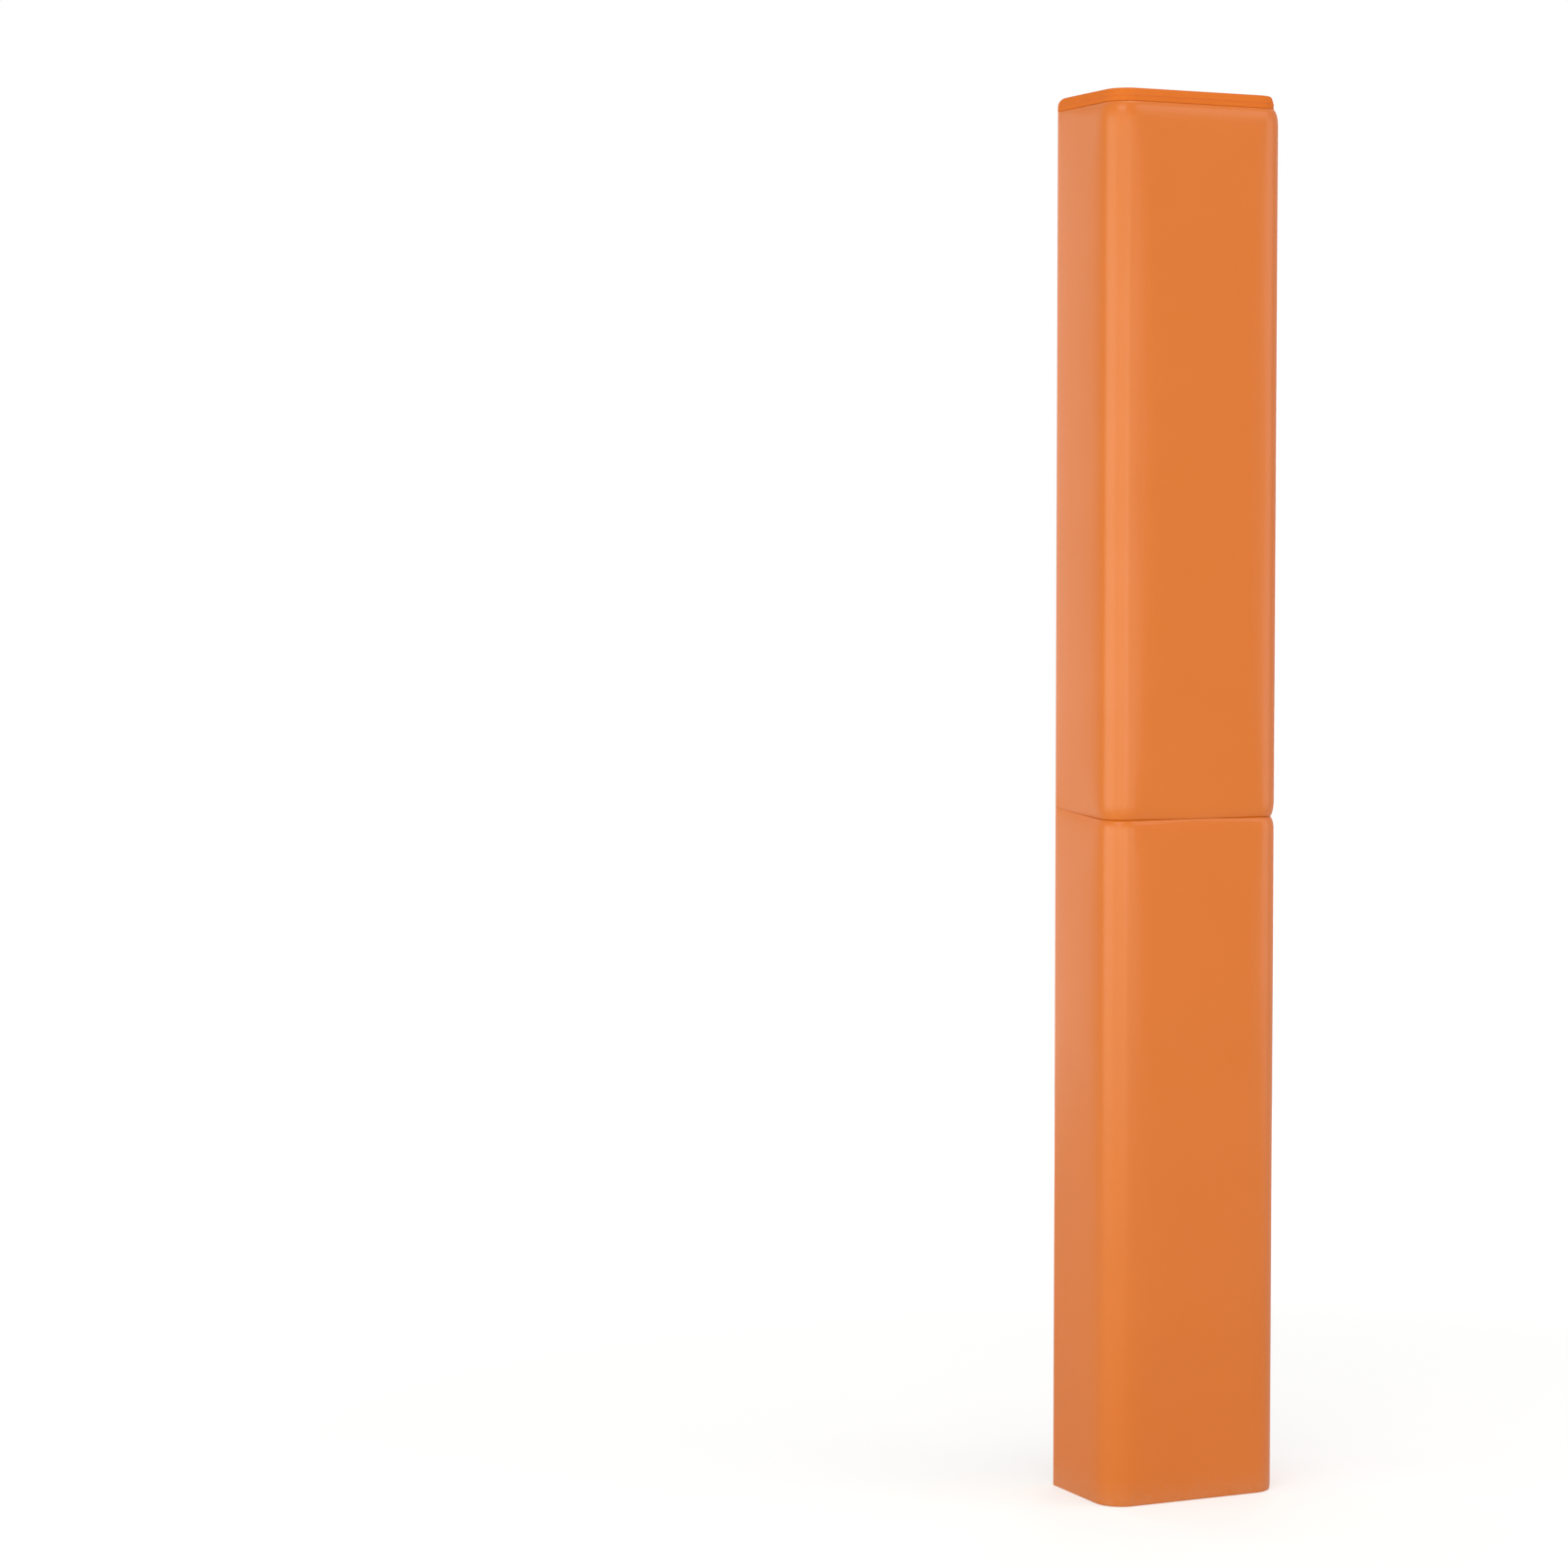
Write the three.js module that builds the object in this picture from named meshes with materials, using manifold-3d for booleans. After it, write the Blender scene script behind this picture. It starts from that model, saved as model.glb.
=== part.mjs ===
// A basketball pole pad: a tall three-sided sleeve of vinyl-covered foam that stands round a square goal pole.
// It is made in two sections, one on top of the other, which fold forward on a vinyl hinge at the front of the
// seam between them. Each section is a sewn cover over three foam slabs, with a lined channel for the pole, and
// hook-and-loop straps close the channel's mouth behind the pole.
// Millimetres, +Z up, front towards -Y. The origin is the centre of the base of the whole pad's bounding box.

import * as THREE from 'three';
import { mergeVertices } from 'three/addons/utils/BufferGeometryUtils.js';
import Module from 'manifold-3d';

// The pole's channel and the foam round it.
const channelWidth = 152.4;
const channelDepth = 101.6;
const foamThickness = 50.8;
const vinylThickness = 0.8;
const fitGap = 0.3;

// Heights of the two sections, and the folded vinyl hinge in the seam between them: the room inside its fold,
// how far its line lies behind the front face, and how wide each of its leaves is.
const lowerHeight = 890.7;
const upperHeight = 919;
const hingeSlack = 0.4;
const hingeSetback = 1.2;
const hingeLeafWidth = 24;

// Corners of the sleeve, and how far the tight cover rounds over the ends of the foam.
const frontRadius = 36;
const rearRadius = 5;
const frontCrown = 2;
const sideCrown = 1.4;
const baseDrawIn = 1.2;
const baseRound = 8;
const seamLowerDrawIn = 5;
const seamLowerRound = 13;
const seamUpperDrawIn = 4.2;
const seamUpperRound = 17;
const topDrawIn = 7;
const topRound = 20;

// The bound seam that stands up round the top edge.
const bindingHeight = 16.5;

// Straps across the channel's mouth, with their hook and loop patches.
const strapsPerSection = 3;
const strapEndShare = 0.15;
const strapWidth = 50;
const strapThickness = 1.8;
const strapCornerRadius = 6;
const anchorLength = 42;
const patchThickness = 1.3;
const patchLength = 38;
const patchWidth = 46;
const patchCornerRadius = 3;
const loopEdgeMargin = 3;
const pullTabLength = 10;

// How finely curved surfaces are drawn.
const frontCornerSteps = 6;
const rearCornerSteps = 2;
const sideSteps = 4;
const frontSteps = 6;
const rearSteps = 2;
const endSteps = 3;
const crownLevels = 5;
const strapBendSteps = 6;
const hingeBendSteps = 4;
const patchCornerSteps = 3;

// One overrun serves every cut that has to pass right through.
const overrun = 10;

// The cover's rounded end stops short of level, at this angle from the end's own plane.
const endStartAngle = THREE.MathUtils.degToRad(25);
// The crown is a power of the distance from the middle, so the faces are nearly flat and fall off at the ends.
const crownHeightPower = 4;
const crownWidthPower = 2;

// Sizes that follow from the ones above.
const skin = vinylThickness + fitGap;
const wall = foamThickness + 2 * skin;
const padWidth = channelWidth + 2 * wall;
const padDepth = channelDepth + wall;
const seamGap = 2 * skin + hingeSlack;
const strapStack = 3 * fitGap + 2 * patchThickness + strapThickness;
const yFront = frontCrown - (frontCrown + padDepth + strapStack) / 2;
const yRear = yFront + padDepth;
const yChannel = yFront + wall;
const yFoamJoint = yFront + skin + foamThickness;
const xSide = padWidth / 2;
const xChannel = channelWidth / 2;
const xLiner = xChannel + skin;
const corner = Math.min(frontRadius, wall);
const upperBase = lowerHeight + seamGap;
const upperTop = upperBase + upperHeight;

const wasm = await Module();
wasm.setup();

// Materials, coloured as the photographed pad: warm orange vinyl, with plain foam and black straps out of sight.
const vinyl = new THREE.MeshStandardMaterial({ color: 0xe0752b, roughness: 0.42, metalness: 0 });
const bindingTape = new THREE.MeshStandardMaterial({ color: 0xdf732a, roughness: 0.6, metalness: 0 });
const foam = new THREE.MeshStandardMaterial({ color: 0xe9e6dc, roughness: 0.95, metalness: 0 });
const webbing = new THREE.MeshStandardMaterial({ color: 0x1b1b1d, roughness: 0.85, metalness: 0 });
const hookTape = new THREE.MeshStandardMaterial({ color: 0x151516, roughness: 0.7, metalness: 0 });
const loopTape = new THREE.MeshStandardMaterial({ color: 0x232325, roughness: 0.95, metalness: 0 });

// A three.js geometry as a solid that can be joined and cut.
function toSolid(geometry) {
  const bare = geometry.clone();
  bare.deleteAttribute('normal');
  bare.deleteAttribute('uv');
  const merged = mergeVertices(bare);
  const vertProperties = new Float32Array(merged.attributes.position.array);
  const triVerts = new Uint32Array(merged.index.array);
  return new wasm.Manifold(new wasm.Mesh({ numProp: 3, vertProperties, triVerts }));
}

// A joined or cut solid back as a geometry.
function toGeometry(solid) {
  const mesh = solid.getMesh();
  const geometry = new THREE.BufferGeometry();
  geometry.setAttribute('position', new THREE.BufferAttribute(new Float32Array(mesh.vertProperties), 3));
  geometry.setIndex(new THREE.BufferAttribute(new Uint32Array(mesh.triVerts), 1));
  geometry.computeVertexNormals();
  return geometry;
}

function piece(name, solid, material) {
  const mesh = new THREE.Mesh(toGeometry(solid), material);
  mesh.name = name;
  return mesh;
}

// A box between two corners.
function block(low, high) {
  const geometry = new THREE.BoxGeometry(high[0] - low[0], high[1] - low[1], high[2] - low[2]);
  geometry.translate((low[0] + high[0]) / 2, (low[1] + high[1]) / 2, (low[2] + high[2]) / 2);
  return toSolid(geometry);
}

// A closed solid through level rings of points, each given as { z, points }, anticlockwise from above.
function loft(rings) {
  const count = rings[0].points.length;
  const positions = [];
  const indices = [];
  for (const ring of rings) {
    for (const point of ring.points) positions.push(point.x, point.y, ring.z);
  }
  for (let level = 0; level + 1 < rings.length; level++) {
    for (let i = 0; i < count; i++) {
      const next = (i + 1) % count;
      const below = level * count;
      const above = below + count;
      indices.push(below + i, below + next, above + next);
      indices.push(below + i, above + next, above + i);
    }
  }
  const centre = (ring) => {
    const sum = ring.points.reduce((total, point) => total.add(point), new THREE.Vector2());
    sum.divideScalar(count);
    return [sum.x, sum.y, ring.z];
  };
  const bottomCentre = rings.length * count;
  const topCentre = bottomCentre + 1;
  const topStart = (rings.length - 1) * count;
  positions.push(...centre(rings[0]), ...centre(rings[rings.length - 1]));
  for (let i = 0; i < count; i++) {
    const next = (i + 1) % count;
    indices.push(bottomCentre, next, i);
    indices.push(topCentre, topStart + i, topStart + next);
  }
  const geometry = new THREE.BufferGeometry();
  geometry.setAttribute('position', new THREE.Float32BufferAttribute(positions, 3));
  geometry.setIndex(indices);
  return toSolid(geometry);
}

// Stations round the sleeve's outline, anticlockwise from above, starting at the middle of the front. Each has
// its place on the plain outline, its outward direction, how much of the crown it takes, and how much of the
// ends' rounding: all of it round the front, fading to none at the rear edges of the sides.
function outlineStations() {
  const stations = [];
  const add = (x, y, outX, outY, crown, draw) => stations.push({ x, y, outX, outY, crown, draw });
  const bump = (share) => 1 - Math.abs(2 * share - 1) ** crownWidthPower;
  const frontHalf = xSide - corner;
  const sideRun = padDepth - corner - rearRadius;
  const rearHalf = xSide - rearRadius;
  for (let i = frontSteps / 2; i < frontSteps; i++) {
    const share = i / frontSteps;
    add(frontHalf * (2 * share - 1), yFront, 0, -1, frontCrown * bump(share), 1);
  }
  for (let i = 0; i < frontCornerSteps; i++) {
    const turn = (i / frontCornerSteps) * (Math.PI / 2);
    const x = frontHalf + corner * Math.sin(turn);
    const y = yFront + corner - corner * Math.cos(turn);
    add(x, y, Math.sin(turn), -Math.cos(turn), 0, 1);
  }
  for (let i = 0; i < sideSteps; i++) {
    const share = i / sideSteps;
    add(xSide, yFront + corner + sideRun * share, 1, 0, sideCrown * bump(share), 1 - share);
  }
  for (let i = 0; i < rearCornerSteps; i++) {
    const turn = (i / rearCornerSteps) * (Math.PI / 2);
    const x = rearHalf + rearRadius * Math.cos(turn);
    const y = yRear - rearRadius + rearRadius * Math.sin(turn);
    add(x, y, Math.cos(turn), Math.sin(turn), 0, 0);
  }
  for (let i = 0; i < rearSteps / 2; i++) {
    add(rearHalf * (1 - (2 * i) / rearSteps), yRear, 0, 1, 0, 0);
  }
  const mirrored = stations.slice(1).reverse();
  add(0, yRear, 0, 1, 0, 0);
  for (const station of mirrored) {
    add(-station.x, station.y, -station.outX, station.outY, station.crown, station.draw);
  }
  return stations;
}

const stations = outlineStations();

// How far the cover is drawn in at a distance from an end: a quarter of an ellipse, started at an angle.
function drawnIn(end, distance) {
  if (distance >= end.round) return 0;
  const angle = Math.acos(Math.cos(endStartAngle) * (1 - Math.max(distance, 0) / end.round));
  return (end.drawIn * (1 - Math.sin(angle))) / (1 - Math.sin(endStartAngle));
}

// The outline of a section at a height above its base, inset evenly by a distance.
function outlineAt(section, height, inset) {
  const share = THREE.MathUtils.clamp(height / section.height, 0, 1);
  const crownShare = 1 - Math.abs(2 * share - 1) ** crownHeightPower;
  const draw = drawnIn(section.bottomEnd, height) + drawnIn(section.topEnd, section.height - height);
  return stations.map((station) => {
    const out = station.crown * crownShare - station.draw * draw - inset;
    return new THREE.Vector2(station.x + station.outX * out, station.y + station.outY * out);
  });
}

// Heights at which a section's surface is measured: close together over the rounded ends.
function levelsOf(section) {
  const rise = (end) => {
    const steps = [0, skin];
    for (let i = 1; i <= endSteps; i++) steps.push(skin + ((end.round - skin) * i) / endSteps);
    return steps;
  };
  const low = section.bottomEnd.round;
  const high = section.height - section.topEnd.round;
  const middle = [];
  for (let i = 1; i <= crownLevels; i++) middle.push(low + ((high - low) * i) / (crownLevels + 1));
  const falling = rise(section.topEnd).map((distance) => section.height - distance);
  return [...rise(section.bottomEnd), ...middle, ...falling.reverse()];
}

// A section's whole crowned form as one solid, inset evenly. Its ends stop short by one distance, or, where that
// is negative, run on past the section with the outline of its end.
function crownedForm(section, inset, endStop) {
  const levels = levelsOf(section).filter((z) => z >= endStop && z <= section.height - endStop);
  const rings = levels.map((z) => ({ z: section.base + z, points: outlineAt(section, z, inset) }));
  if (endStop < 0) {
    const first = rings[0];
    const last = rings[rings.length - 1];
    rings.unshift({ z: first.z + endStop, points: first.points });
    rings.push({ z: last.z - endStop, points: last.points });
  }
  return loft(rings);
}

// An upright solid with one outline of the section's end, from one height to another.
function endPrism(section, atTop, inset, zLow, zHigh) {
  const points = outlineAt(section, atTop ? section.height : 0, inset);
  return loft([{ z: zLow, points }, { z: zHigh, points }]);
}

// The pole's channel, grown evenly, from past one end of a section to past the other and out of its mouth.
function channelSpace(section, grow) {
  const top = section.base + section.height + bindingHeight + overrun;
  return block(
    [-xChannel - grow, yChannel - grow, section.base - overrun],
    [xChannel + grow, yRear + overrun, top],
  );
}

// The sewn cover: the wrap over the front, the sides and the rear edges, up to the channel's mouth.
function cover(section) {
  const hollow = crownedForm(section, vinylThickness, -overrun);
  const shell = crownedForm(section, 0, 0).subtract(hollow);
  return shell.subtract(channelSpace(section, skin));
}

// The vinyl liner of the channel: a folded sheet on the backs of the three walls.
function liner(section) {
  const profile = new THREE.Shape();
  const outer = xChannel + vinylThickness;
  profile.moveTo(-outer, yChannel - vinylThickness);
  profile.lineTo(outer, yChannel - vinylThickness);
  profile.lineTo(outer, yRear);
  profile.lineTo(xChannel, yRear);
  profile.lineTo(xChannel, yChannel);
  profile.lineTo(-xChannel, yChannel);
  profile.lineTo(-xChannel, yRear);
  profile.lineTo(-outer, yRear);
  profile.closePath();
  const sheet = new THREE.ExtrudeGeometry(profile, { depth: section.height, bevelEnabled: false });
  sheet.translate(0, 0, section.base);
  return toSolid(sheet);
}

// The three foam slabs: one across the front, and one down each side behind it.
function frontFoam(section) {
  const keep = block(
    [-xSide - overrun, yFront - overrun, section.base],
    [xSide + overrun, yFoamJoint, section.base + section.height],
  );
  return crownedForm(section, skin, skin).intersect(keep);
}

function sideFoam(section, side) {
  const inner = side * xLiner;
  const outer = side * (xSide + overrun);
  const keep = block(
    [Math.min(inner, outer), yFoamJoint + fitGap, section.base],
    [Math.max(inner, outer), yRear, section.base + section.height],
  );
  return crownedForm(section, skin, skin).intersect(keep);
}

// The flat vinyl panel that closes one end of a section, set inside the cover's edge.
function endPanel(section, atTop) {
  const face = section.base + (atTop ? section.height : 0);
  const inner = atTop ? face - vinylThickness : face + vinylThickness;
  const sheet = endPrism(section, atTop, skin, Math.min(face, inner), Math.max(face, inner));
  return sheet.subtract(channelSpace(section, skin));
}

// An upright band round the front and sides of a section's top end, between two insets of its outline. It stops
// where the rear corners begin.
function topBand(section, outerInset, innerInset, zLow, zHigh) {
  const keep = block(
    [-xSide - overrun, yFront - overrun, zLow - overrun],
    [xSide + overrun, yRear - rearRadius, zHigh + overrun],
  );
  const ring = endPrism(section, true, outerInset, zLow, zHigh);
  const inside = endPrism(section, true, innerInset, zLow - overrun, zHigh + overrun);
  return ring.subtract(inside).intersect(keep);
}

// The bound seam at the top: the cover's edge and the end panel's edge both turn up, and a tape folds over them.
const flangeTop = upperTop + bindingHeight - skin;

function coverWithFlange(section) {
  const flange = topBand(section, 0, vinylThickness, upperTop - vinylThickness, flangeTop);
  return cover(section).add(flange);
}

function panelWithFlange(section) {
  const flange = topBand(section, skin, skin + vinylThickness, upperTop - vinylThickness, flangeTop);
  return endPanel(section, true).add(flange);
}

function binding(section) {
  const outside = -skin;
  const inside = 2 * skin + vinylThickness;
  const tape = topBand(section, outside, inside, upperTop + fitGap, upperTop + bindingHeight);
  const slot = topBand(
    section,
    outside + vinylThickness,
    inside - vinylThickness,
    upperTop + fitGap - overrun,
    flangeTop + fitGap,
  );
  return tape.subtract(slot);
}

// The hinge in the seam: one strip of vinyl folded on itself, with a leaf on each of the facing end panels and
// its fold at the front, on the line that the upper section turns about.
const hingeLineY = yFront + hingeSetback;
const hingeLineZ = lowerHeight + seamGap / 2;

function foldHinge() {
  const halfLength = xSide - corner;
  const zLow = lowerHeight + fitGap;
  const zHigh = upperBase - fitGap;
  const bend = (zHigh - zLow) / 2;
  const yFold = hingeLineY + bend;
  const yEnd = hingeLineY + hingeLeafWidth;
  const profile = new THREE.Shape();
  profile.moveTo(yEnd, zHigh);
  profile.lineTo(yFold, zHigh);
  profile.absarc(yFold, hingeLineZ, bend, Math.PI / 2, 1.5 * Math.PI, false);
  profile.lineTo(yEnd, zLow);
  profile.lineTo(yEnd, zLow + vinylThickness);
  profile.lineTo(yFold, zLow + vinylThickness);
  profile.absarc(yFold, hingeLineZ, hingeSlack / 2, 1.5 * Math.PI, Math.PI / 2, true);
  profile.lineTo(yEnd, zHigh - vinylThickness);
  profile.closePath();
  const options = { depth: 2 * halfLength, bevelEnabled: false, curveSegments: hingeBendSteps };
  const strip = new THREE.ExtrudeGeometry(profile, options);
  strip.applyMatrix4(new THREE.Matrix4().makeBasis(
    new THREE.Vector3(0, 1, 0),
    new THREE.Vector3(0, 0, 1),
    new THREE.Vector3(1, 0, 0),
  ));
  strip.translate(-halfLength, 0, 0);
  return toSolid(strip);
}

// A flat patch with rounded corners against the rear of the pad, from one thickness level to the next.
function rearPatch(xLow, xHigh, width, radius, yLow, thickness, zMiddle) {
  const half = width / 2;
  const round = Math.min(radius, half, (xHigh - xLow) / 2);
  const outline = new THREE.Shape();
  outline.moveTo(xLow + round, -half);
  outline.lineTo(xHigh - round, -half);
  outline.absarc(xHigh - round, -half + round, round, -Math.PI / 2, 0, false);
  outline.lineTo(xHigh, half - round);
  outline.absarc(xHigh - round, half - round, round, 0, Math.PI / 2, false);
  outline.lineTo(xLow + round, half);
  outline.absarc(xLow + round, half - round, round, Math.PI / 2, Math.PI, false);
  outline.lineTo(xLow, -half + round);
  outline.absarc(xLow + round, -half + round, round, Math.PI, 1.5 * Math.PI, false);
  const options = { depth: thickness, bevelEnabled: false, curveSegments: patchCornerSteps };
  const patch = new THREE.ExtrudeGeometry(outline, options);
  patch.rotateX(Math.PI / 2);
  patch.translate(0, yLow + thickness, zMiddle);
  return toSolid(patch);
}

// Where the straps lie, from the left rear edge across the mouth to the right one.
const anchorEnd = -xLiner - fitGap;
const anchorStart = anchorEnd - anchorLength;
const hingeX = anchorEnd + fitGap / 2;
const strapStart = anchorEnd + fitGap;
const loopStart = xLiner + loopEdgeMargin;
const loopEnd = loopStart + patchLength;
const strapEnd = loopEnd + pullTabLength;
const yLoop = yRear + fitGap;
const yHook = yLoop + patchThickness + fitGap;
const yStrapLanding = yHook + patchThickness + fitGap;
const hingeY = yRear + 1.5 * fitGap + strapThickness;

// The free length of one strap: flat where it folds back over its anchor, then rising to the hook patch.
function strap(zMiddle) {
  const yStart = yRear + fitGap;
  const bendStart = strapStart + anchorLength;
  const bendEnd = loopStart - loopEdgeMargin;
  const bendThird = (bendEnd - bendStart) / 3;
  const profile = new THREE.Shape();
  profile.moveTo(strapStart, yStart);
  profile.lineTo(bendStart, yStart);
  profile.bezierCurveTo(
    bendStart + bendThird, yStart,
    bendEnd - bendThird, yStrapLanding,
    bendEnd, yStrapLanding,
  );
  profile.lineTo(strapEnd, yStrapLanding);
  profile.lineTo(strapEnd, yStrapLanding + strapThickness);
  profile.lineTo(bendEnd, yStrapLanding + strapThickness);
  profile.bezierCurveTo(
    bendEnd - bendThird, yStrapLanding + strapThickness,
    bendStart + bendThird, yStart + strapThickness,
    bendStart, yStart + strapThickness,
  );
  profile.lineTo(strapStart, yStart + strapThickness);
  profile.closePath();
  const options = { depth: strapWidth, bevelEnabled: false, curveSegments: strapBendSteps };
  const band = new THREE.ExtrudeGeometry(profile, options);
  band.translate(0, 0, zMiddle - strapWidth / 2);
  const low = strapStart - strapCornerRadius;
  const trim = rearPatch(low, strapEnd, strapWidth, strapCornerRadius, yRear, strapStack, zMiddle);
  return toSolid(band).intersect(trim);
}

// The sewn end of one strap, on the rear edge of the left wall.
function strapAnchor(zMiddle) {
  return rearPatch(
    anchorStart, anchorEnd, strapWidth, 0.5 * strapThickness, yRear + fitGap, strapThickness, zMiddle,
  );
}

function loopPatch(zMiddle) {
  return rearPatch(loopStart, loopEnd, patchWidth, patchCornerRadius, yLoop, patchThickness, zMiddle);
}

function hookPatch(zMiddle) {
  return rearPatch(loopStart, loopEnd, patchWidth, patchCornerRadius, yHook, patchThickness, zMiddle);
}

// The two sections, and the pieces that each one is sewn from.
const lower = {
  name: 'lower',
  base: 0,
  height: lowerHeight,
  bottomEnd: { drawIn: baseDrawIn, round: baseRound },
  topEnd: { drawIn: seamLowerDrawIn, round: seamLowerRound },
};
const upper = {
  name: 'upper',
  base: upperBase,
  height: upperHeight,
  bottomEnd: { drawIn: seamUpperDrawIn, round: seamUpperRound },
  topEnd: { drawIn: topDrawIn, round: topRound },
};

const pad = new THREE.Group();
const lowerSection = new THREE.Group();
const upperSection = new THREE.Group();
pad.add(lowerSection, upperSection);

function addFoamAndLiner(group, section) {
  group.add(piece(`${section.name}_liner`, liner(section), vinyl));
  group.add(piece(`${section.name}_front_foam`, frontFoam(section), foam));
  group.add(piece(`${section.name}_left_foam`, sideFoam(section, -1), foam));
  group.add(piece(`${section.name}_right_foam`, sideFoam(section, 1), foam));
}

// Straps are spaced evenly between the lowest and the highest, which lie a share of the height from the ends.
function addStraps(group, section) {
  for (let i = 0; i < strapsPerSection; i++) {
    const between = strapsPerSection > 1 ? i / (strapsPerSection - 1) : 0.5;
    const share = strapEndShare + (1 - 2 * strapEndShare) * between;
    const zMiddle = section.base + section.height * share;
    const name = `${section.name}_strap_${i + 1}`;
    const hinge = new THREE.Group();
    hinge.position.set(hingeX, hingeY, zMiddle);
    const free = piece(name, strap(zMiddle), webbing);
    const hook = piece(`${name}_hook`, hookPatch(zMiddle), hookTape);
    for (const mesh of [free, hook]) {
      mesh.position.set(-hingeX, -hingeY, -zMiddle);
      hinge.add(mesh);
    }
    group.add(hinge);
    group.add(piece(`${name}_anchor`, strapAnchor(zMiddle), webbing));
    group.add(piece(`${name}_loop`, loopPatch(zMiddle), loopTape));
  }
}

lowerSection.add(piece('lower_cover', cover(lower), vinyl));
lowerSection.add(piece('lower_bottom_panel', endPanel(lower, false), vinyl));
lowerSection.add(piece('lower_top_panel', endPanel(lower, true), vinyl));
lowerSection.add(piece('fold_hinge', foldHinge(), vinyl));
addFoamAndLiner(lowerSection, lower);
addStraps(lowerSection, lower);

upperSection.add(piece('upper_cover', coverWithFlange(upper), vinyl));
upperSection.add(piece('upper_bottom_panel', endPanel(upper, false), vinyl));
upperSection.add(piece('upper_top_panel', panelWithFlange(upper), vinyl));
upperSection.add(piece('top_binding', binding(upper), bindingTape));
addFoamAndLiner(upperSection, upper);
addStraps(upperSection, upper);

export default pad;
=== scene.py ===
# A basketball pole pad in orange vinyl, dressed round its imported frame. Each of its two sections is a
# puffed sleeve with a lined channel, sewn end panels and foam slabs inside. A folded vinyl strip hinges
# the sections, a tape binds the top seam, and webbing straps with hook and loop patches close the
# channel's mouth. Metres, +Z up, front towards -Y.

import math

import bmesh
import bpy
from mathutils import Matrix, Vector


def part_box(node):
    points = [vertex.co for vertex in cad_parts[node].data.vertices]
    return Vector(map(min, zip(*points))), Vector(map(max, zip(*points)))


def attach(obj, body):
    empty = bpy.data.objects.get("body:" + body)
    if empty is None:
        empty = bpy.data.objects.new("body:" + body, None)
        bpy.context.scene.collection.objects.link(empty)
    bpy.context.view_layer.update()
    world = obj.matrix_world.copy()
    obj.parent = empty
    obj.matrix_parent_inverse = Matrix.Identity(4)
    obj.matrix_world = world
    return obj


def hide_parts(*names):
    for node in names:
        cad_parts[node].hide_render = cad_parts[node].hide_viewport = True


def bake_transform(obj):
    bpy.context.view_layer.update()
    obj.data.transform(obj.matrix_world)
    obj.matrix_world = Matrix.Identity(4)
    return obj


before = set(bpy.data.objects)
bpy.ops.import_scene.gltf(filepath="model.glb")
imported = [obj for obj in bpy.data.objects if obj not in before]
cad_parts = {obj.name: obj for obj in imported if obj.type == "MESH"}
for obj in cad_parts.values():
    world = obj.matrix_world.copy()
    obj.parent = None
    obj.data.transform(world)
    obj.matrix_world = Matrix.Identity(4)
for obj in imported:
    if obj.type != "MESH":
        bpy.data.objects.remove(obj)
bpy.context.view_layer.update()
bpy.context.scene.view_settings.view_transform = "Standard"

MM = 0.001
EPS = 0.01 * MM

# A face faces along an axis if more than this share of its normal does.
FACING = 0.9

# The sleeve's walls before they puff up.
VINYL = 0.9 * MM
FRONT_CROWN = 2.0 * MM
SIDE_CROWN = 1.4 * MM
FRONT_CORNER = 36 * MM
REAR_CORNER = 5 * MM
MOUTH_CORNER = 4 * MM
CELL = 11 * MM

# For the low and the high end of each section: how far the wrap is drawn in, the height that it rounds
# over, and how full its curve is, where 2 is a quarter of an ellipse. Then which end is at the seam, and
# how much shallower the groove is there in the middle of the front.
DRAW_IN = {"lower": (1.4 * MM, 5.0 * MM), "upper": (4.4 * MM, 7.0 * MM)}
ROUND_HEIGHT = {"lower": (8 * MM, 15 * MM), "upper": (18 * MM, 20 * MM)}
ROUND_POWER = {"lower": (2.0, 1.6), "upper": (1.6, 2.0)}
LOW, HIGH = 0, 1
SEAM_END = {"lower": HIGH, "upper": LOW}
MIDDLE_EASE = 0.4
ROUND_TURNS = (14, 28, 42, 56, 72, 90)

# The lip where the wrap rolls over an end and down to its seam with the end panel, in steps of width and
# depth, and the gap between the lips of the two sections.
LIP_STEPS = ((1.0 * MM, 0.1 * MM), (1.1 * MM, 0.5 * MM), (1.3 * MM, 0.7 * MM))
LIP_WIDTH = sum(width for width, depth in LIP_STEPS)
SEAM_GAP = 0.25 * MM

# How far the seam between the sections has risen at the rear, how gently it sets off, and the height
# over which the sections give way to it.
SEAM_RISE = 11 * MM
RISE_POWER = 1.25
RISE_REACH = 90 * MM

# The allowance between the two turned-up edges in the bound top seam, and their height and rows.
SEAM_ALLOWANCE = 2.0 * MM
FLANGE_HEIGHT = 13.5 * MM
FLANGE_ROWS = 5

# Marks on the sleeve's faces, for taking it apart once it has puffed up.
WRAP, LINING, LOW_PANEL, HIGH_PANEL, ALLOWANCE = range(5)

# Places that follow from the frame.
COVER_LOW, COVER_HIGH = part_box("lower_cover")
LINER_LOW, LINER_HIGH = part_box("lower_liner")
HINGE_LOW, HINGE_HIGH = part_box("fold_hinge")
TAPE_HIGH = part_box("top_binding")[1]
X_SIDE = COVER_HIGH.x - SIDE_CROWN
Y_FRONT = COVER_LOW.y + FRONT_CROWN
Y_REAR = COVER_HIGH.y
X_CHANNEL = LINER_HIGH.x
Y_CHANNEL = LINER_LOW.y
Y_TAPE_END = TAPE_HIGH.y
SEAM_HEIGHT = (HINGE_LOW.z + HINGE_HIGH.z) / 2
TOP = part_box("upper_liner")[1].z


# Camera, light and floor

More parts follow.
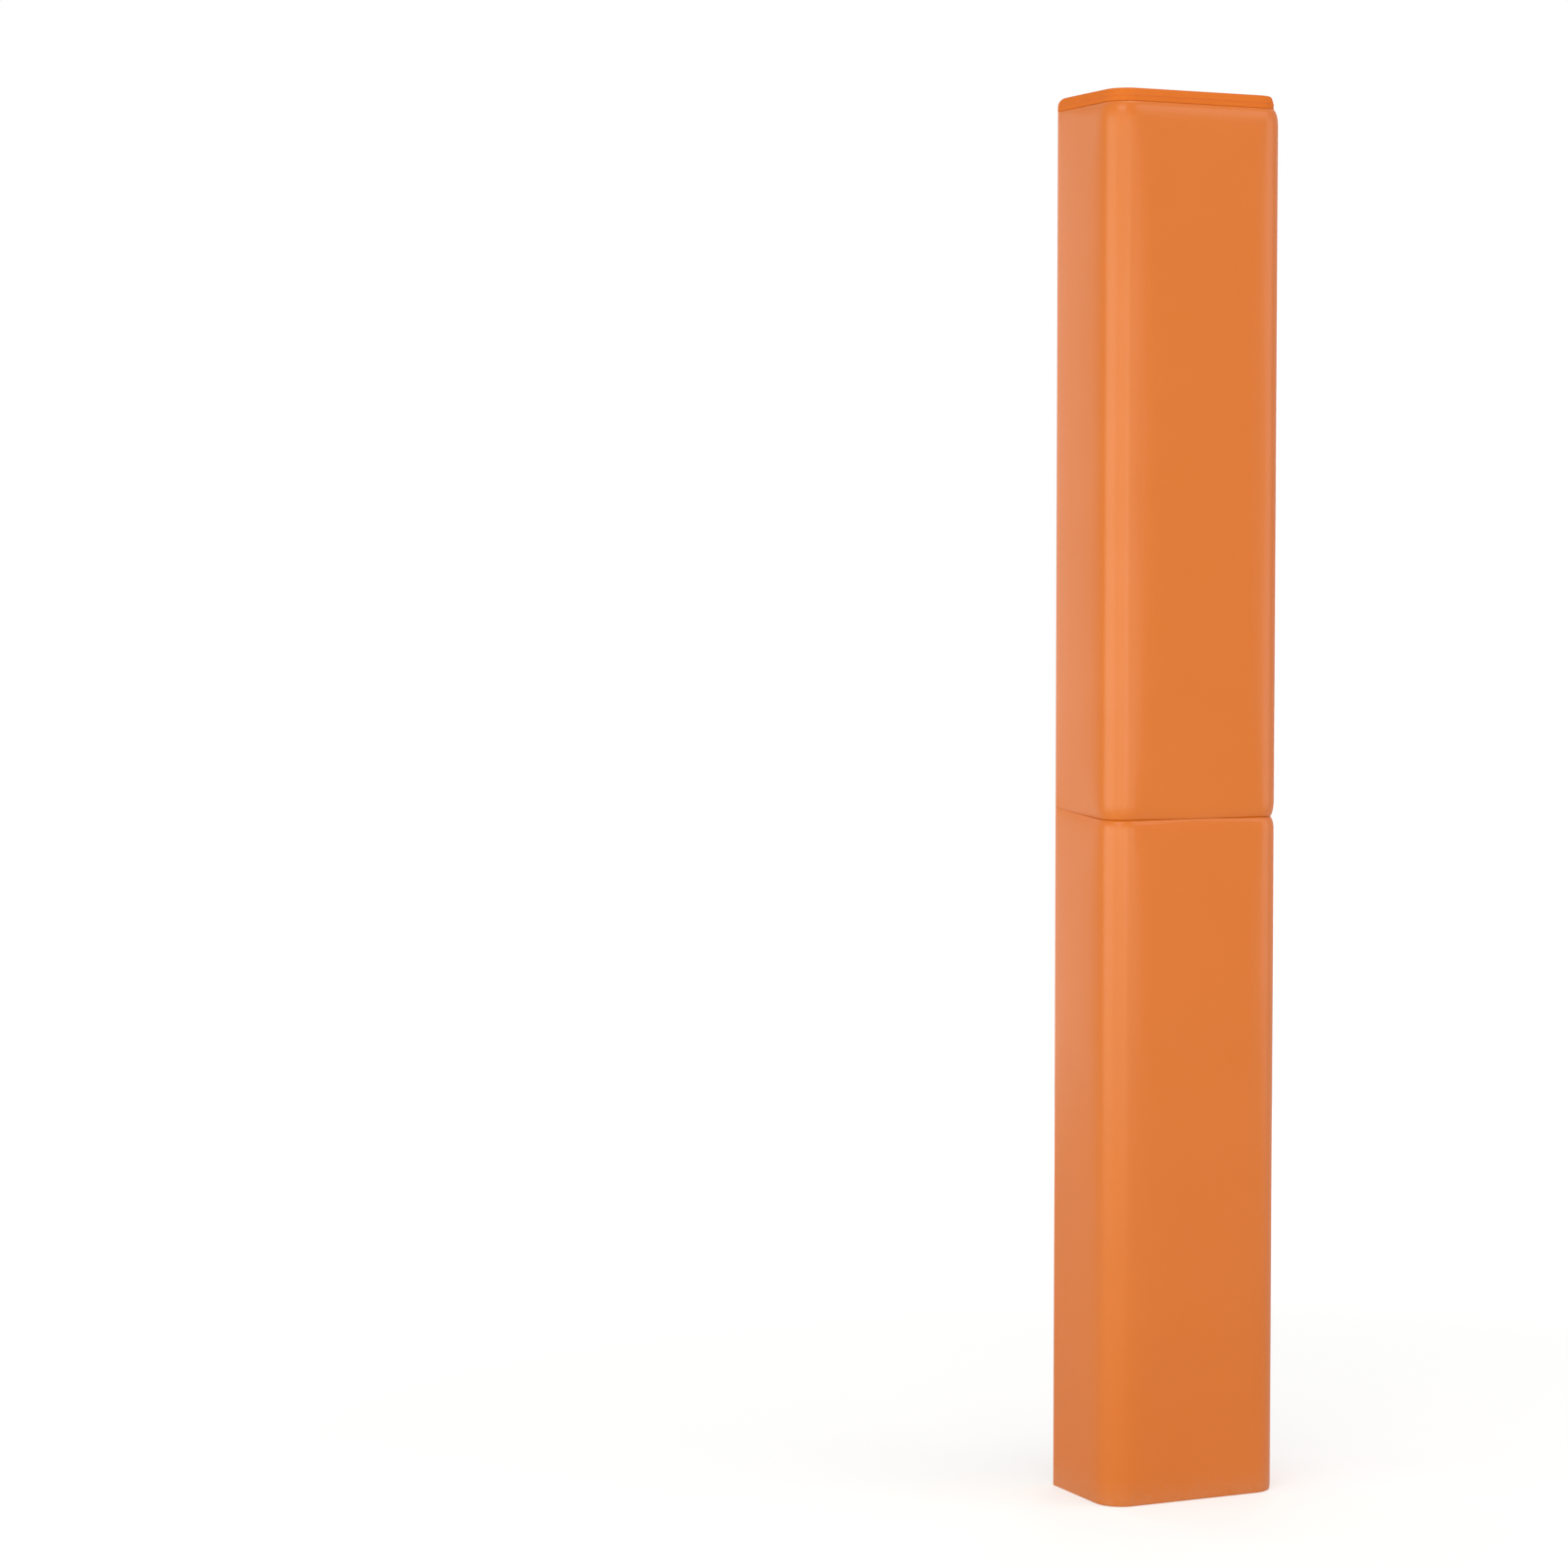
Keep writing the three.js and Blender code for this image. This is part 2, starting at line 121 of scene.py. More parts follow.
CAMERA_PLACE = (-2.5373, -4.4282, 1.1847)
CAMERA_TURN = math.radians(-24.132)
CAMERA_DIP = math.radians(2.831)
CAMERA_LENS = 88.83
CAMERA_REACH = 60


def add_object(name, data):
    """A new object in the scene for some data."""
    obj = bpy.data.objects.new(name, data)
    bpy.context.scene.collection.objects.link(obj)
    return obj


def add_camera():
    camera = add_object("camera", bpy.data.cameras.new("camera"))
    camera.data.lens = CAMERA_LENS
    camera.data.clip_end = CAMERA_REACH
    camera.location = CAMERA_PLACE
    camera.rotation_euler = (math.pi / 2 - CAMERA_DIP, 0, CAMERA_TURN)
    bpy.context.scene.camera = camera


# The soft lamps round the pad: name, place, target, width and height, power, and colour if it isn't
# white. The tall ones on the left give the sheen on that side and on the corner.
MIDDLE = (0, 0, 1.1)
LOWER_MIDDLE = (0, 0, 0.9)
WHITE = (1, 1, 1)
MILD = (0.90, 1.0, 0.86)
LAMPS = (
    ("front_lamp", (0.60, -3.85, 1.2), MIDDLE, (1.3, 2.2), 11),
    ("corner_lamp", (-0.95, -3.78, 1.2), MIDDLE, (1.2, 2.2), 20, MILD),
    ("left_front_lamp", (-2.48, -3.00, 1.2), MIDDLE, (2.1, 2.2), 26, MILD),
    ("left_lamp", (-3.57, -0.50, 1.25), MIDDLE, (3.2, 2.3), 51, MILD),
    ("rear_left_lamp", (-1.00, 3.25, 1.3), MIDDLE, (1.5, 2.5), 15),
    ("rear_right_lamp", (2.2, 3.0, 1.6), MIDDLE, (1.8, 2.4), 28),
    ("right_lamp", (3.1, -1.8, 1.4), MIDDLE, (2.0, 2.6), 20),
    ("high_left_lamp", (-2.5, -2.6, 3.9), LOWER_MIDDLE, (2.2, 1.8), 25),
    ("high_right_lamp", (2.3, -2.8, 3.8), LOWER_MIDDLE, (2.2, 1.8), 17),
    ("top_lamp", (0.4, -0.3, 5.4), LOWER_MIDDLE, (2.4, 2.4), 34),
)


def add_lamp(name, place, target, size, watts, colour=WHITE):
    """A soft rectangular lamp at a place, facing a target."""
    data = bpy.data.lights.new(name, "AREA")
    data.shape = "RECTANGLE"
    data.size, data.size_y = size
    data.energy = watts
    data.color = colour
    lamp = add_object(name, data)
    lamp.location = place
    facing = Vector(target) - Vector(place)
    lamp.rotation_euler = facing.to_track_quat("-Z", "Y").to_euler()


def seen_directly(tree):
    """1 for what the camera, a reflection or a clear material shows, and 0 for what lights the scene."""
    rays = tree.nodes.new("ShaderNodeLightPath").outputs
    shown = math_node(tree, "MAXIMUM", rays["Is Camera Ray"], rays["Is Glossy Ray"])
    return math_node(tree, "MAXIMUM", shown, rays["Is Transmission Ray"])


WORLD_LIGHT = 0.44


def add_world():
    """An even pale surround that shows as plain white."""
    world = bpy.data.worlds.new("studio")
    bpy.context.scene.world = world
    world.use_nodes = True
    tree = world.node_tree
    tree.nodes.clear()
    out = tree.nodes.new("ShaderNodeOutputWorld")
    lit = add_node(tree, "ShaderNodeBackground", Color=(*WHITE, 1), Strength=WORLD_LIGHT)
    shown = add_node(tree, "ShaderNodeBackground", Color=(*WHITE, 1))
    mix = tree.nodes.new("ShaderNodeMixShader")
    link(seen_directly(tree), mix.inputs[0])
    link(lit.outputs[0], mix.inputs[1])
    link(shown.outputs[0], mix.inputs[2])
    link(mix.outputs[0], out.inputs["Surface"])


# The floor, and how much it is lifted to white where it is seen: near the pad, where the lamps light it,
# and far off, with the distances between which the lift changes.
FLOOR_SIZE = 60
FLOOR_GREY = (0.6, 0.6, 0.6, 1)
LIFT_NEAR = 0.46
LIFT_FAR = 0.78
LIFT_START = 1.2
LIFT_END = 5.0


def floor_lift(tree):
    """How much the floor is lifted to white at each place, for what shows it."""
    reach = tree.nodes.new("ShaderNodeVectorMath")
    reach.operation = "LENGTH"
    link(object_place(tree), reach.inputs[0])
    level = add_node(tree, "ShaderNodeMapRange",
                     From_Min=LIFT_START, From_Max=LIFT_END, To_Min=LIFT_NEAR, To_Max=LIFT_FAR)
    link(reach.outputs["Value"], level.inputs["Value"])
    return math_node(tree, "MULTIPLY", level.outputs["Result"], seen_directly(tree))


def add_floor():
    """A wide pale floor that takes the pad's soft shadow and shows as white beyond it."""
    bpy.ops.mesh.primitive_plane_add(size=FLOOR_SIZE, location=(0, 0, 0))
    floor = bpy.context.object
    floor.name = "floor"
    material, tree = new_material("pale_floor")
    shader = tree.nodes["Principled BSDF"]
    set_inputs(shader, Base_Color=FLOOR_GREY, Roughness=1, Specular_IOR_Level=0)
    lift = add_node(tree, "ShaderNodeEmission", Color=(*WHITE, 1))
    link(floor_lift(tree), lift.inputs["Strength"])
    both = tree.nodes.new("ShaderNodeAddShader")
    link(shader.outputs[0], both.inputs[0])
    link(lift.outputs[0], both.inputs[1])
    link(both.outputs[0], tree.nodes["Material Output"].inputs["Surface"])
    floor.data.materials.append(material)


# Shader groups that several finishes share

def new_group(name, numbers, results):
    """An empty shader group with its sockets and the nodes at its two ends."""
    group = bpy.data.node_groups.new(name, "ShaderNodeTree")
    group.interface.new_socket(name="Vector", in_out="INPUT", socket_type="NodeSocketVector")
    for label, value in numbers.items():
        socket = group.interface.new_socket(name=label, in_out="INPUT", socket_type="NodeSocketFloat")
        socket.default_value = value
    for label in results:
        group.interface.new_socket(name=label, in_out="OUTPUT", socket_type="NodeSocketFloat")
    return group, group.nodes.new("NodeGroupInput"), group.nodes.new("NodeGroupOutput")


def set_inputs(node, **values):
    """Sets a node's inputs by name, with underscores for the spaces."""
    for label, value in values.items():
        node.inputs[label.replace("_", " ")].default_value = value


def link(start, end):
    """Links one node's output to another node's input."""
    end.id_data.links.new(start, end)


def add_node(tree, kind, **values):
    """A new node with some of its inputs set by name."""
    node = tree.nodes.new(kind)
    set_inputs(node, **values)
    return node


def math_node(tree, operation, first, second=None):
    """A Math node of a group or a material, whose inputs are numbers or sockets."""
    node = tree.nodes.new("ShaderNodeMath")
    node.operation = operation
    for slot, value in enumerate((first, second)):
        if isinstance(value, (int, float)):
            node.inputs[slot].default_value = value
        elif value is not None:
            link(value, node.inputs[slot])
    return node.outputs[0]


def make_grain():
    """Pebbled grain: rounded cells with fine noise over them."""
    group, source, result = new_group("pebbled_grain", {"Cells per Metre": 900.0}, ["Height"])
    cells = group.nodes.new("ShaderNodeTexVoronoi")
    cells.feature = "SMOOTH_F1"
    cells.inputs["Smoothness"].default_value = 0.7
    fine = add_node(group, "ShaderNodeTexNoise", Detail=2)
    for texture in (cells, fine):
        link(source.outputs["Vector"], texture.inputs["Vector"])
        link(source.outputs["Cells per Metre"], texture.inputs["Scale"])
    fuzz = math_node(group, "MULTIPLY", fine.outputs["Fac"], 0.4)
    height = math_node(group, "ADD", fuzz, cells.outputs["Distance"])
    link(height, result.inputs["Height"])
    return group


def make_drift():
    """A slow change of a value over the surface, between two limits."""
    group, source, result = new_group(
        "slow_drift", {"Patches per Metre": 6.0, "Low": 0.0, "High": 1.0}, ["Value"])
    noise = add_node(group, "ShaderNodeTexNoise", Detail=3)
    link(source.outputs["Vector"], noise.inputs["Vector"])
    link(source.outputs["Patches per Metre"], noise.inputs["Scale"])
    spread = add_node(group, "ShaderNodeMapRange", From_Min=0.3, From_Max=0.7)
    link(noise.outputs["Fac"], spread.inputs["Value"])
    link(source.outputs["Low"], spread.inputs["To Min"])
    link(source.outputs["High"], spread.inputs["To Max"])
    link(spread.outputs["Result"], result.inputs["Value"])
    return group


def make_weave():
    """Plain weave of threads that run along x and z, over and under each other."""
    group, source, result = new_group(
        "plain_weave", {"Threads per Metre": 700.0}, ["Height", "Crossing"])
    split = group.nodes.new("ShaderNodeSeparateXYZ")
    link(source.outputs["Vector"], split.inputs[0])
    turn = math_node(group, "MULTIPLY", source.outputs["Threads per Metre"], math.pi)
    across = math_node(group, "MULTIPLY", split.outputs["X"], turn)
    along = math_node(group, "MULTIPLY", split.outputs["Z"], turn)
    sines = [math_node(group, "SINE", angle) for angle in (across, along)]
    cosines = [math_node(group, "COSINE", angle) for angle in (across, along)]
    crossing = math_node(group, "ABSOLUTE", math_node(group, "MULTIPLY", *sines))
    ribs = math_node(group, "ABSOLUTE", math_node(group, "MULTIPLY", *cosines))
    height = math_node(group, "MAXIMUM", crossing, ribs)
    link(height, result.inputs["Height"])
    link(crossing, result.inputs["Crossing"])
    return group


def make_dust():
    """A thin film of floor dust, thickest at the base and broken up into specks."""
    group, source, result = new_group("floor_dust", {"Reach": 0.05, "Amount": 0.3}, ["Mask"])
    split = group.nodes.new("ShaderNodeSeparateXYZ")
    link(source.outputs["Vector"], split.inputs[0])
    rise = math_node(group, "DIVIDE", split.outputs["Z"], source.outputs["Reach"])
    fall = math_node(group, "MAXIMUM", math_node(group, "SUBTRACT", 1.0, rise), 0.0)
    speck = add_node(group, "ShaderNodeTexNoise", Scale=120, Detail=4)
    link(source.outputs["Vector"], speck.inputs["Vector"])
    thinning = math_node(group, "MULTIPLY", fall, fall)
    broken = math_node(group, "MULTIPLY", thinning, speck.outputs["Fac"])
    mask = math_node(group, "MULTIPLY", broken, source.outputs["Amount"])
    link(mask, result.inputs["Mask"])
    return group


GRAIN = make_grain()
DRIFT = make_drift()
WEAVE = make_weave()
DUST = make_dust()


# Finishes

def new_material(name):
    material = bpy.data.materials.new(name)
    material.use_nodes = True
    return material, material.node_tree


def object_place(tree):
    return tree.nodes.new("ShaderNodeTexCoord").outputs["Object"]


def use_group(tree, group, vector, **values):
    """A group placed in a material, with its vector linked and its other inputs set by name."""
    node = tree.nodes.new("ShaderNodeGroup")
    node.node_tree = group
    link(vector, node.inputs["Vector"])
    set_inputs(node, **values)
    return node


def mix_colours(tree, factor, first, second):
    """A blend of two colours, each a triple or a socket."""
    mix = tree.nodes.new("ShaderNodeMix")
    mix.data_type = "RGBA"
    link(factor, mix.inputs["Factor"])
    for label, colour in (("A", first), ("B", second)):
        socket = next(s for s in mix.inputs if s.name == label and s.type == "RGBA")
        if isinstance(colour, tuple):
            socket.default_value = (*colour, 1)
        else:
            link(colour, socket)
    return next(s for s in mix.outputs if s.type == "RGBA")


def add_bump(tree, height, strength, distance):
    bump = add_node(tree, "ShaderNodeBump", Strength=strength, Distance=distance)
    link(height, bump.inputs["Height"])
    link(bump.outputs["Normal"], tree.nodes["Principled BSDF"].inputs["Normal"])


def vary_roughness(tree, place, patches, low, high):
    gloss = use_group(tree, DRIFT, place, Patches_per_Metre=patches, Low=low, High=high)
    link(gloss.outputs["Value"], tree.nodes["Principled BSDF"].inputs["Roughness"])


def vinyl_finish():
    """Satin vinyl-coated cloth with a fine pebbled grain and a little floor dust at the base."""
    material, tree = new_material("orange_vinyl")
    shader = tree.nodes["Principled BSDF"]
    place = object_place(tree)
    tone = use_group(tree, DRIFT, place, Patches_per_Metre=7.0)
    dust = use_group(tree, DUST, place, Reach=0.05, Amount=0.35)
    orange = mix_colours(tree, tone.outputs["Value"], (0.690, 0.156, 0.0065), (0.706, 0.162, 0.0085))
    dusty = mix_colours(tree, dust.outputs["Mask"], orange, (0.62, 0.36, 0.22))
    link(dusty, shader.inputs["Base Color"])
    set_inputs(shader, Specular_IOR_Level=0, Coat_Roughness=0.27, Coat_IOR=1.8)
    vary_roughness(tree, place, patches=16.0, low=0.45, high=0.55)
    skin = use_group(tree, DRIFT, place, Patches_per_Metre=11.0, Low=0.47, High=0.51)
    link(skin.outputs["Value"], shader.inputs["Coat Weight"])
    grain = use_group(tree, GRAIN, place, Cells_per_Metre=1100.0)
    add_bump(tree, grain.outputs["Height"], strength=0.25, distance=0.06 * MM)
    return material


def textured_finish(name, group, scale, colours, roughness, relief, tone="Height", drift=0, **surface):
    """A finish with a shared texture as its relief and a tone that follows the texture or a slow drift.
    Roughness is given as patches to a metre, low and high, and relief as strength and distance."""
    material, tree = new_material(name)
    shader = tree.nodes["Principled BSDF"]
    place = object_place(tree)
    texture = use_group(tree, group, place, **scale)
    factor = texture.outputs[tone]
    if drift:
        factor = use_group(tree, DRIFT, place, Patches_per_Metre=drift).outputs["Value"]
    link(mix_colours(tree, factor, *colours), shader.inputs["Base Color"])
    set_inputs(shader, **surface)
    vary_roughness(tree, place, *roughness)
    add_bump(tree, texture.outputs["Height"], *relief)
    return material


def woven_finish(name, dark, light, threads, depth):
    """Black woven polyester, with so many threads to a metre and so deep a weave."""
    return textured_finish(
        name, WEAVE, {"Threads_per_Metre": threads}, (dark, light),
        roughness=(40.0, 0.6, 0.75), relief=(0.7, depth), Specular_IOR_Level=0.25)


def thread_finish(name, dark, light):
    """Bonded sewing thread with the twist of its plies."""
    return textured_finish(
        name, WEAVE, {"Threads_per_Metre": 2400.0}, (dark, light),
        roughness=(80.0, 0.45, 0.6), relief=(0.5, 0.1 * MM), tone="Crossing")


ORANGE_VINYL = vinyl_finish()

# Matt binding tape with a fine woven face.
MATT_TAPE = textured_finish(
    "matt_tape", WEAVE, {"Threads_per_Metre": 1500.0}, ((0.735, 0.166, 0.022), (0.755, 0.176, 0.024)),
    roughness=(30.0, 0.7, 0.8), relief=(0.2, 0.1 * MM), drift=14.0, Specular_IOR_Level=0.1)

WEBBING = woven_finish(
    "black_webbing", (0.005, 0.005, 0.006), (0.020, 0.020, 0.022), threads=420.0, depth=0.6 * MM)
HOOK_TAPE = woven_finish(
    "hook_tape", (0.006, 0.006, 0.006), (0.012, 0.012, 0.012), threads=1400.0, depth=0.2 * MM)

# Black napped pile.
LOOP_PILE = textured_finish(
    "loop_pile", GRAIN, {"Cells_per_Metre": 1600.0}, ((0.009, 0.009, 0.010), (0.03, 0.03, 0.033)),
    roughness=(60.0, 0.85, 0.95), relief=(0.9, 0.5 * MM), Sheen_Weight=0.4)

# Off-white closed-cell foam, pitted all over.
CELL_FOAM = textured_finish(
    "cell_foam", GRAIN, {"Cells_per_Metre": 520.0}, ((0.66, 0.63, 0.55), (0.86, 0.84, 0.77)),
    roughness=(20.0, 0.88, 0.96), relief=(0.6, 0.6 * MM))

ORANGE_THREAD = thread_finish("orange_thread", (0.64, 0.13, 0.012), (0.80, 0.21, 0.03))
BLACK_THREAD = thread_finish("black_thread", (0.03, 0.03, 0.032), (0.10, 0.10, 0.105))


# Modelling helpers

def activate(obj):
    bpy.ops.object.select_all(action="DESELECT")
    obj.select_set(True)
    bpy.context.view_layer.objects.active = obj


def start_edit(obj, kind="faces", test=None):
    """Starts to edit a mesh, with only what a test accepts selected."""
    activate(obj)
    bpy.ops.object.mode_set(mode="EDIT")
    bpy.ops.mesh.select_mode(type={"faces": "FACE", "edges": "EDGE", "verts": "VERT"}[kind])
    bpy.ops.mesh.select_all(action="DESELECT")
    if test:
        pick(obj, kind, test)


def end_edit():
    bpy.ops.object.mode_set(mode="OBJECT")


def pick(obj, kind, test):
    """In edit mode, selects only the faces, edges or vertices that a test accepts."""
    mesh = bmesh.from_edit_mesh(obj.data)
    bpy.ops.mesh.select_all(action="DESELECT")
    mesh.normal_update()
    for item in getattr(mesh, kind):
        if test(item):
            item.select_set(True)
    mesh.select_flush_mode()
    bmesh.update_edit_mesh(obj.data)


def apply_place(obj):
    """Moves an object's place, turn and scale into its mesh."""
    activate(obj)
    bpy.ops.object.transform_apply(location=True, rotation=True, scale=True)


def add_box(name, low, high):
    """A box between two corners, as the start of a piece."""
    low, high = Vector(low), Vector(high)
    bpy.ops.mesh.primitive_cube_add(size=1)
    obj = bpy.context.object
    obj.name = name
    obj.location = (low + high) / 2
    obj.scale = high - low
    apply_place(obj)
    return obj


def add_upright_sheet(name, x_low, x_high, y, z_low, z_high):
    """A flat upright sheet that faces the rear, as the start of a piece."""
    bpy.ops.mesh.primitive_plane_add(size=1, rotation=(-math.pi / 2, 0, 0))
    obj = bpy.context.object
    obj.name = name
    apply_place(obj)
    obj.location = ((x_low + x_high) / 2, y, (z_low + z_high) / 2)
    obj.scale = (x_high - x_low, 1, z_high - z_low)
    apply_place(obj)
    return obj


def runs_along(edge, axis):
    along = edge.verts[1].co - edge.verts[0].co
    return abs(along[axis]) > EPS and all(abs(along[i]) < EPS for i in range(3) if i != axis)


def bevel_edges(obj, offset, segments, test):
    start_edit(obj, "edges", test)
    bpy.ops.mesh.bevel(offset=offset, segments=segments, affect="EDGES")
    end_edit()


def bevel_upright(obj, x, y, offset, segments):
    """Rounds the upright edges at plus and minus x."""
    def is_corner(edge):
        place = edge.verts[0].co
        return runs_along(edge, 2) and abs(abs(place.x) - x) < EPS and abs(place.y - y) < EPS
    bevel_edges(obj, offset, segments, is_corner)


def bisect(obj, axis, places, test=None):
    """Cuts the mesh, or only the faces that a test accepts, across an axis at each place."""
    normal = Vector([float(axis == i) for i in range(3)])
    start_edit(obj)
    for place in places:
        if test:
            pick(obj, "faces", test)
        else:
            bpy.ops.mesh.select_all(action="SELECT")
        bpy.ops.mesh.bisect(plane_co=normal * place, plane_no=normal)
    end_edit()


def apply_modifier(obj, kind, **values):
    modifier = obj.modifiers.new(kind.lower(), kind)
    for key, value in values.items():
        setattr(modifier, key, value)
    activate(obj)
    bpy.ops.object.modifier_apply(modifier=modifier.name)


def thicken(obj, thickness, offset=-1.0, even=True):
    apply_modifier(obj, "SOLIDIFY", thickness=thickness, offset=offset, use_even_offset=even)


def soften(obj, width):
    """Rounds every sharp edge."""
    limit = math.radians(60)
    apply_modifier(obj, "BEVEL", width=width, segments=2, limit_method="ANGLE", angle_limit=limit)


def split_off(obj, name, mark):
    """Takes the faces that carry a mark off a mesh, as a new piece."""
    start_edit(obj, "faces", lambda f: f.material_index == mark)
    bpy.ops.mesh.separate(type="SELECTED")
    end_edit()
    piece = next(o for o in bpy.context.selected_objects if o != obj)
    piece.name = name
    return piece


def join(piece, other):
    """Joins another mesh into a piece."""
    activate(piece)
    other.select_set(True)
    bpy.ops.object.join()


def spaced(low, high, step):
    """Evenly spaced values between two limits, about a step apart, without the limits."""
    count = max(1, round((high - low) / step))
    return [low + (high - low) * i / count for i in range(1, count)]


def finish(obj, material, body=None, nodes=(), smooth=45):
    """Gives a piece its finish, its body, and the nodes that it stands for."""
    obj.data.materials.clear()
    obj.data.materials.append(material)
    obj.data.name = obj.name
    for polygon in obj.data.polygons:
        polygon.material_index = 0
    activate(obj)
    bpy.ops.object.shade_smooth_by_angle(angle=math.radians(smooth))
    if body:
        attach(obj, body)
    if nodes:
        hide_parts(*nodes)


# Thread

THREAD = 0.7 * MM
STITCH = 3.3 * MM
STITCH_PITCH = 4.2 * MM
STITCH_DIP = 0.35 * MM
STITCH_BEND = 0.3 * STITCH
STITCH_TAPER = 0.6
STITCH_LIFT = 0.2 * THREAD
TAPE_STITCH_LIFT = 0.1 * THREAD
REARWARD = Vector((0, 1, 0))


def make_stitch():
    """One stitch along x on a face towards +Z: a short thread that dips into the cloth at both ends."""
    bpy.ops.mesh.primitive_cylinder_add(
        vertices=6, radius=THREAD / 2, depth=STITCH, rotation=(0, math.pi / 2, 0))
    obj = bpy.context.object
    apply_place(obj)
    bisect(obj, 0, (-STITCH_BEND, STITCH_BEND))
    start_edit(obj, "verts", lambda v: abs(v.co.x) > STITCH_BEND + EPS)
    bpy.ops.transform.resize(value=(1, STITCH_TAPER, STITCH_TAPER), center_override=(0, 0, 0))
    bpy.ops.transform.translate(value=(0, 0, -STITCH_DIP))
    end_edit()
    mesh = obj.data
    bpy.data.objects.remove(obj)
    return mesh


STITCH_MESH = make_stitch()


def stitch_places(run, out):
    """Where each stitch lies along a line, on a face with one outward direction or one for each point."""
    outs = out if isinstance(out, list) else [out] * len(run)
    places = []
    travelled = STITCH_PITCH / 2
    for start, end, first, last in zip(run, run[1:], outs, outs[1:]):
        length = (end - start).length
        along = (end - start).normalized()
        while travelled < length:
            share = travelled / length
            up = first.lerp(last, share)
            up = (up - along * up.dot(along)).normalized()
            side = up.cross(along)
            place = Matrix((along, side, up)).transposed().to_4x4()
            place.translation = start.lerp(end, share) + up * STITCH_LIFT
            places.append(place)
            travelled += STITCH_PITCH
        travelled -= length
    return places


def sew(name, material, body, runs):
    """All the stitches of one body, as one piece."""
    places = [place for run, out in runs for place in stitch_places(run, out)]
    count = len(STITCH_MESH.vertices)
    points = [place @ vertex.co for place in places for vertex in STITCH_MESH.vertices]
    faces = [
        [i * count + corner for corner in polygon.vertices]
        for i in range(len(places)) for polygon in STITCH_MESH.polygons
    ]
    mesh = bpy.data.meshes.new(name)
    mesh.from_pydata(points, [], faces)
    obj = add_object(name, mesh)
    finish(obj, material, body, smooth=80)


def rectangle_runs(x_low, x_high, y, z_low, z_high):
    """The four lines of stitches round an upright rectangle that faces the rear."""
    corners = [(x_low, z_low), (x_high, z_low), (x_high, z_high), (x_low, z_high), (x_low, z_low)]
    return [
        ([Vector((a[0], y, a[1])), Vector((b[0], y, b[1]))], REARWARD)
        for a, b in zip(corners, corners[1:])
    ]


# The sleeve sections

def section_ends(section):
    """The heights of a section's two ends, with its lips close to the other section's at the seam."""
    low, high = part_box(f"{section}_liner")
    if section == "lower":
        return low.z, SEAM_HEIGHT - SEAM_GAP / 2
    return SEAM_HEIGHT + SEAM_GAP / 2, high.z


def risen(place):
    """Where a place goes as the facing ends of the sections rise along both sides to the rear."""
    start = HINGE_HIGH.y
    back = min(1.0, max(0.0, (place.y - start) / (Y_REAR - start))) ** RISE_POWER
    near = max(0.0, 1 - abs(place.z - SEAM_HEIGHT) / RISE_REACH)
    return place + Vector((0, 0, SEAM_RISE * back * near * near * (3 - 2 * near)))


def raise_ends(piece):
    for vertex in piece.data.vertices:
        vertex.co = risen(vertex.co)


def by_channel(place):
    """Whether a place near an end's edge lies along the channel, not along the rear or the outside."""
    beside = abs(place.x) - X_CHANNEL
    if place.y < Y_CHANNEL - LIP_WIDTH or beside > LIP_WIDTH:
        return False
    return place.y < Y_CHANNEL or Y_REAR - place.y > beside


def sleeve_cage(section):
    """The three-sided sleeve as one closed form: a front wall with two side walls pulled out behind it,
    round corners, and rows and columns close enough together to puff up smoothly."""
    z_low, z_high = section_ends(section)
    obj = add_box(f"{section}_wrap", (-X_SIDE, Y_FRONT, z_low), (X_SIDE, Y_CHANNEL, z_high))
    bisect(obj, 0, (-X_CHANNEL, X_CHANNEL))
    start_edit(obj, "faces", lambda f: f.normal.y > FACING and abs(f.calc_center_median().x) > X_CHANNEL)
    bpy.ops.mesh.extrude_region_move(TRANSFORM_OT_translate={"value": (0, Y_REAR - Y_CHANNEL, 0)})
    end_edit()
    bevel_upright(obj, X_SIDE, Y_FRONT, FRONT_CORNER, segments=12)
    bevel_upright(obj, X_SIDE, Y_REAR, REAR_CORNER, segments=4)
    bevel_upright(obj, X_CHANNEL, Y_REAR, MOUTH_CORNER, segments=3)
    straight = X_SIDE - FRONT_CORNER
    bisect(obj, 0, spaced(-straight, straight, CELL))
    rear_columns = spaced(straight, X_SIDE - REAR_CORNER, CELL)
    bisect(obj, 0, [side * x for side in (-1, 1) for x in rear_columns], lambda f: f.normal.y > FACING)
    bisect(obj, 1, spaced(Y_FRONT + FRONT_CORNER, Y_REAR - REAR_CORNER, CELL))
    bisect(obj, 1, [Y_TAPE_END - share * TAPE_TRIM for share in TRIM_SHARES])
    low_round, high_round = ROUND_HEIGHT[section]
    steps = [1 - math.cos(math.radians(turn)) for turn in ROUND_TURNS]
    low_rows = [z_low + low_round * step for step in steps]
    high_rows = [z_high - high_round * step for step in steps]
    bisect(obj, 2, low_rows + high_rows + spaced(z_low + low_round, z_high - high_round, CELL))
    for polygon in obj.data.polygons:
        inside = by_channel(polygon.center) and abs(polygon.center.x) < X_CHANNEL + EPS
        polygon.material_index = LINING if inside and abs(polygon.normal.z) < 0.5 else WRAP
    return obj


def end_draw(section, end, distance):
    """How far the wrap is drawn in at a distance from one of its ends."""
    height, power = ROUND_HEIGHT[section][end], ROUND_POWER[section][end]
    if distance >= height:
        return 0.0
    curve = max(0.0, 1 - (1 - distance / height) ** power) ** (1 / power)
    return DRAW_IN[section][end] * (1 - curve)


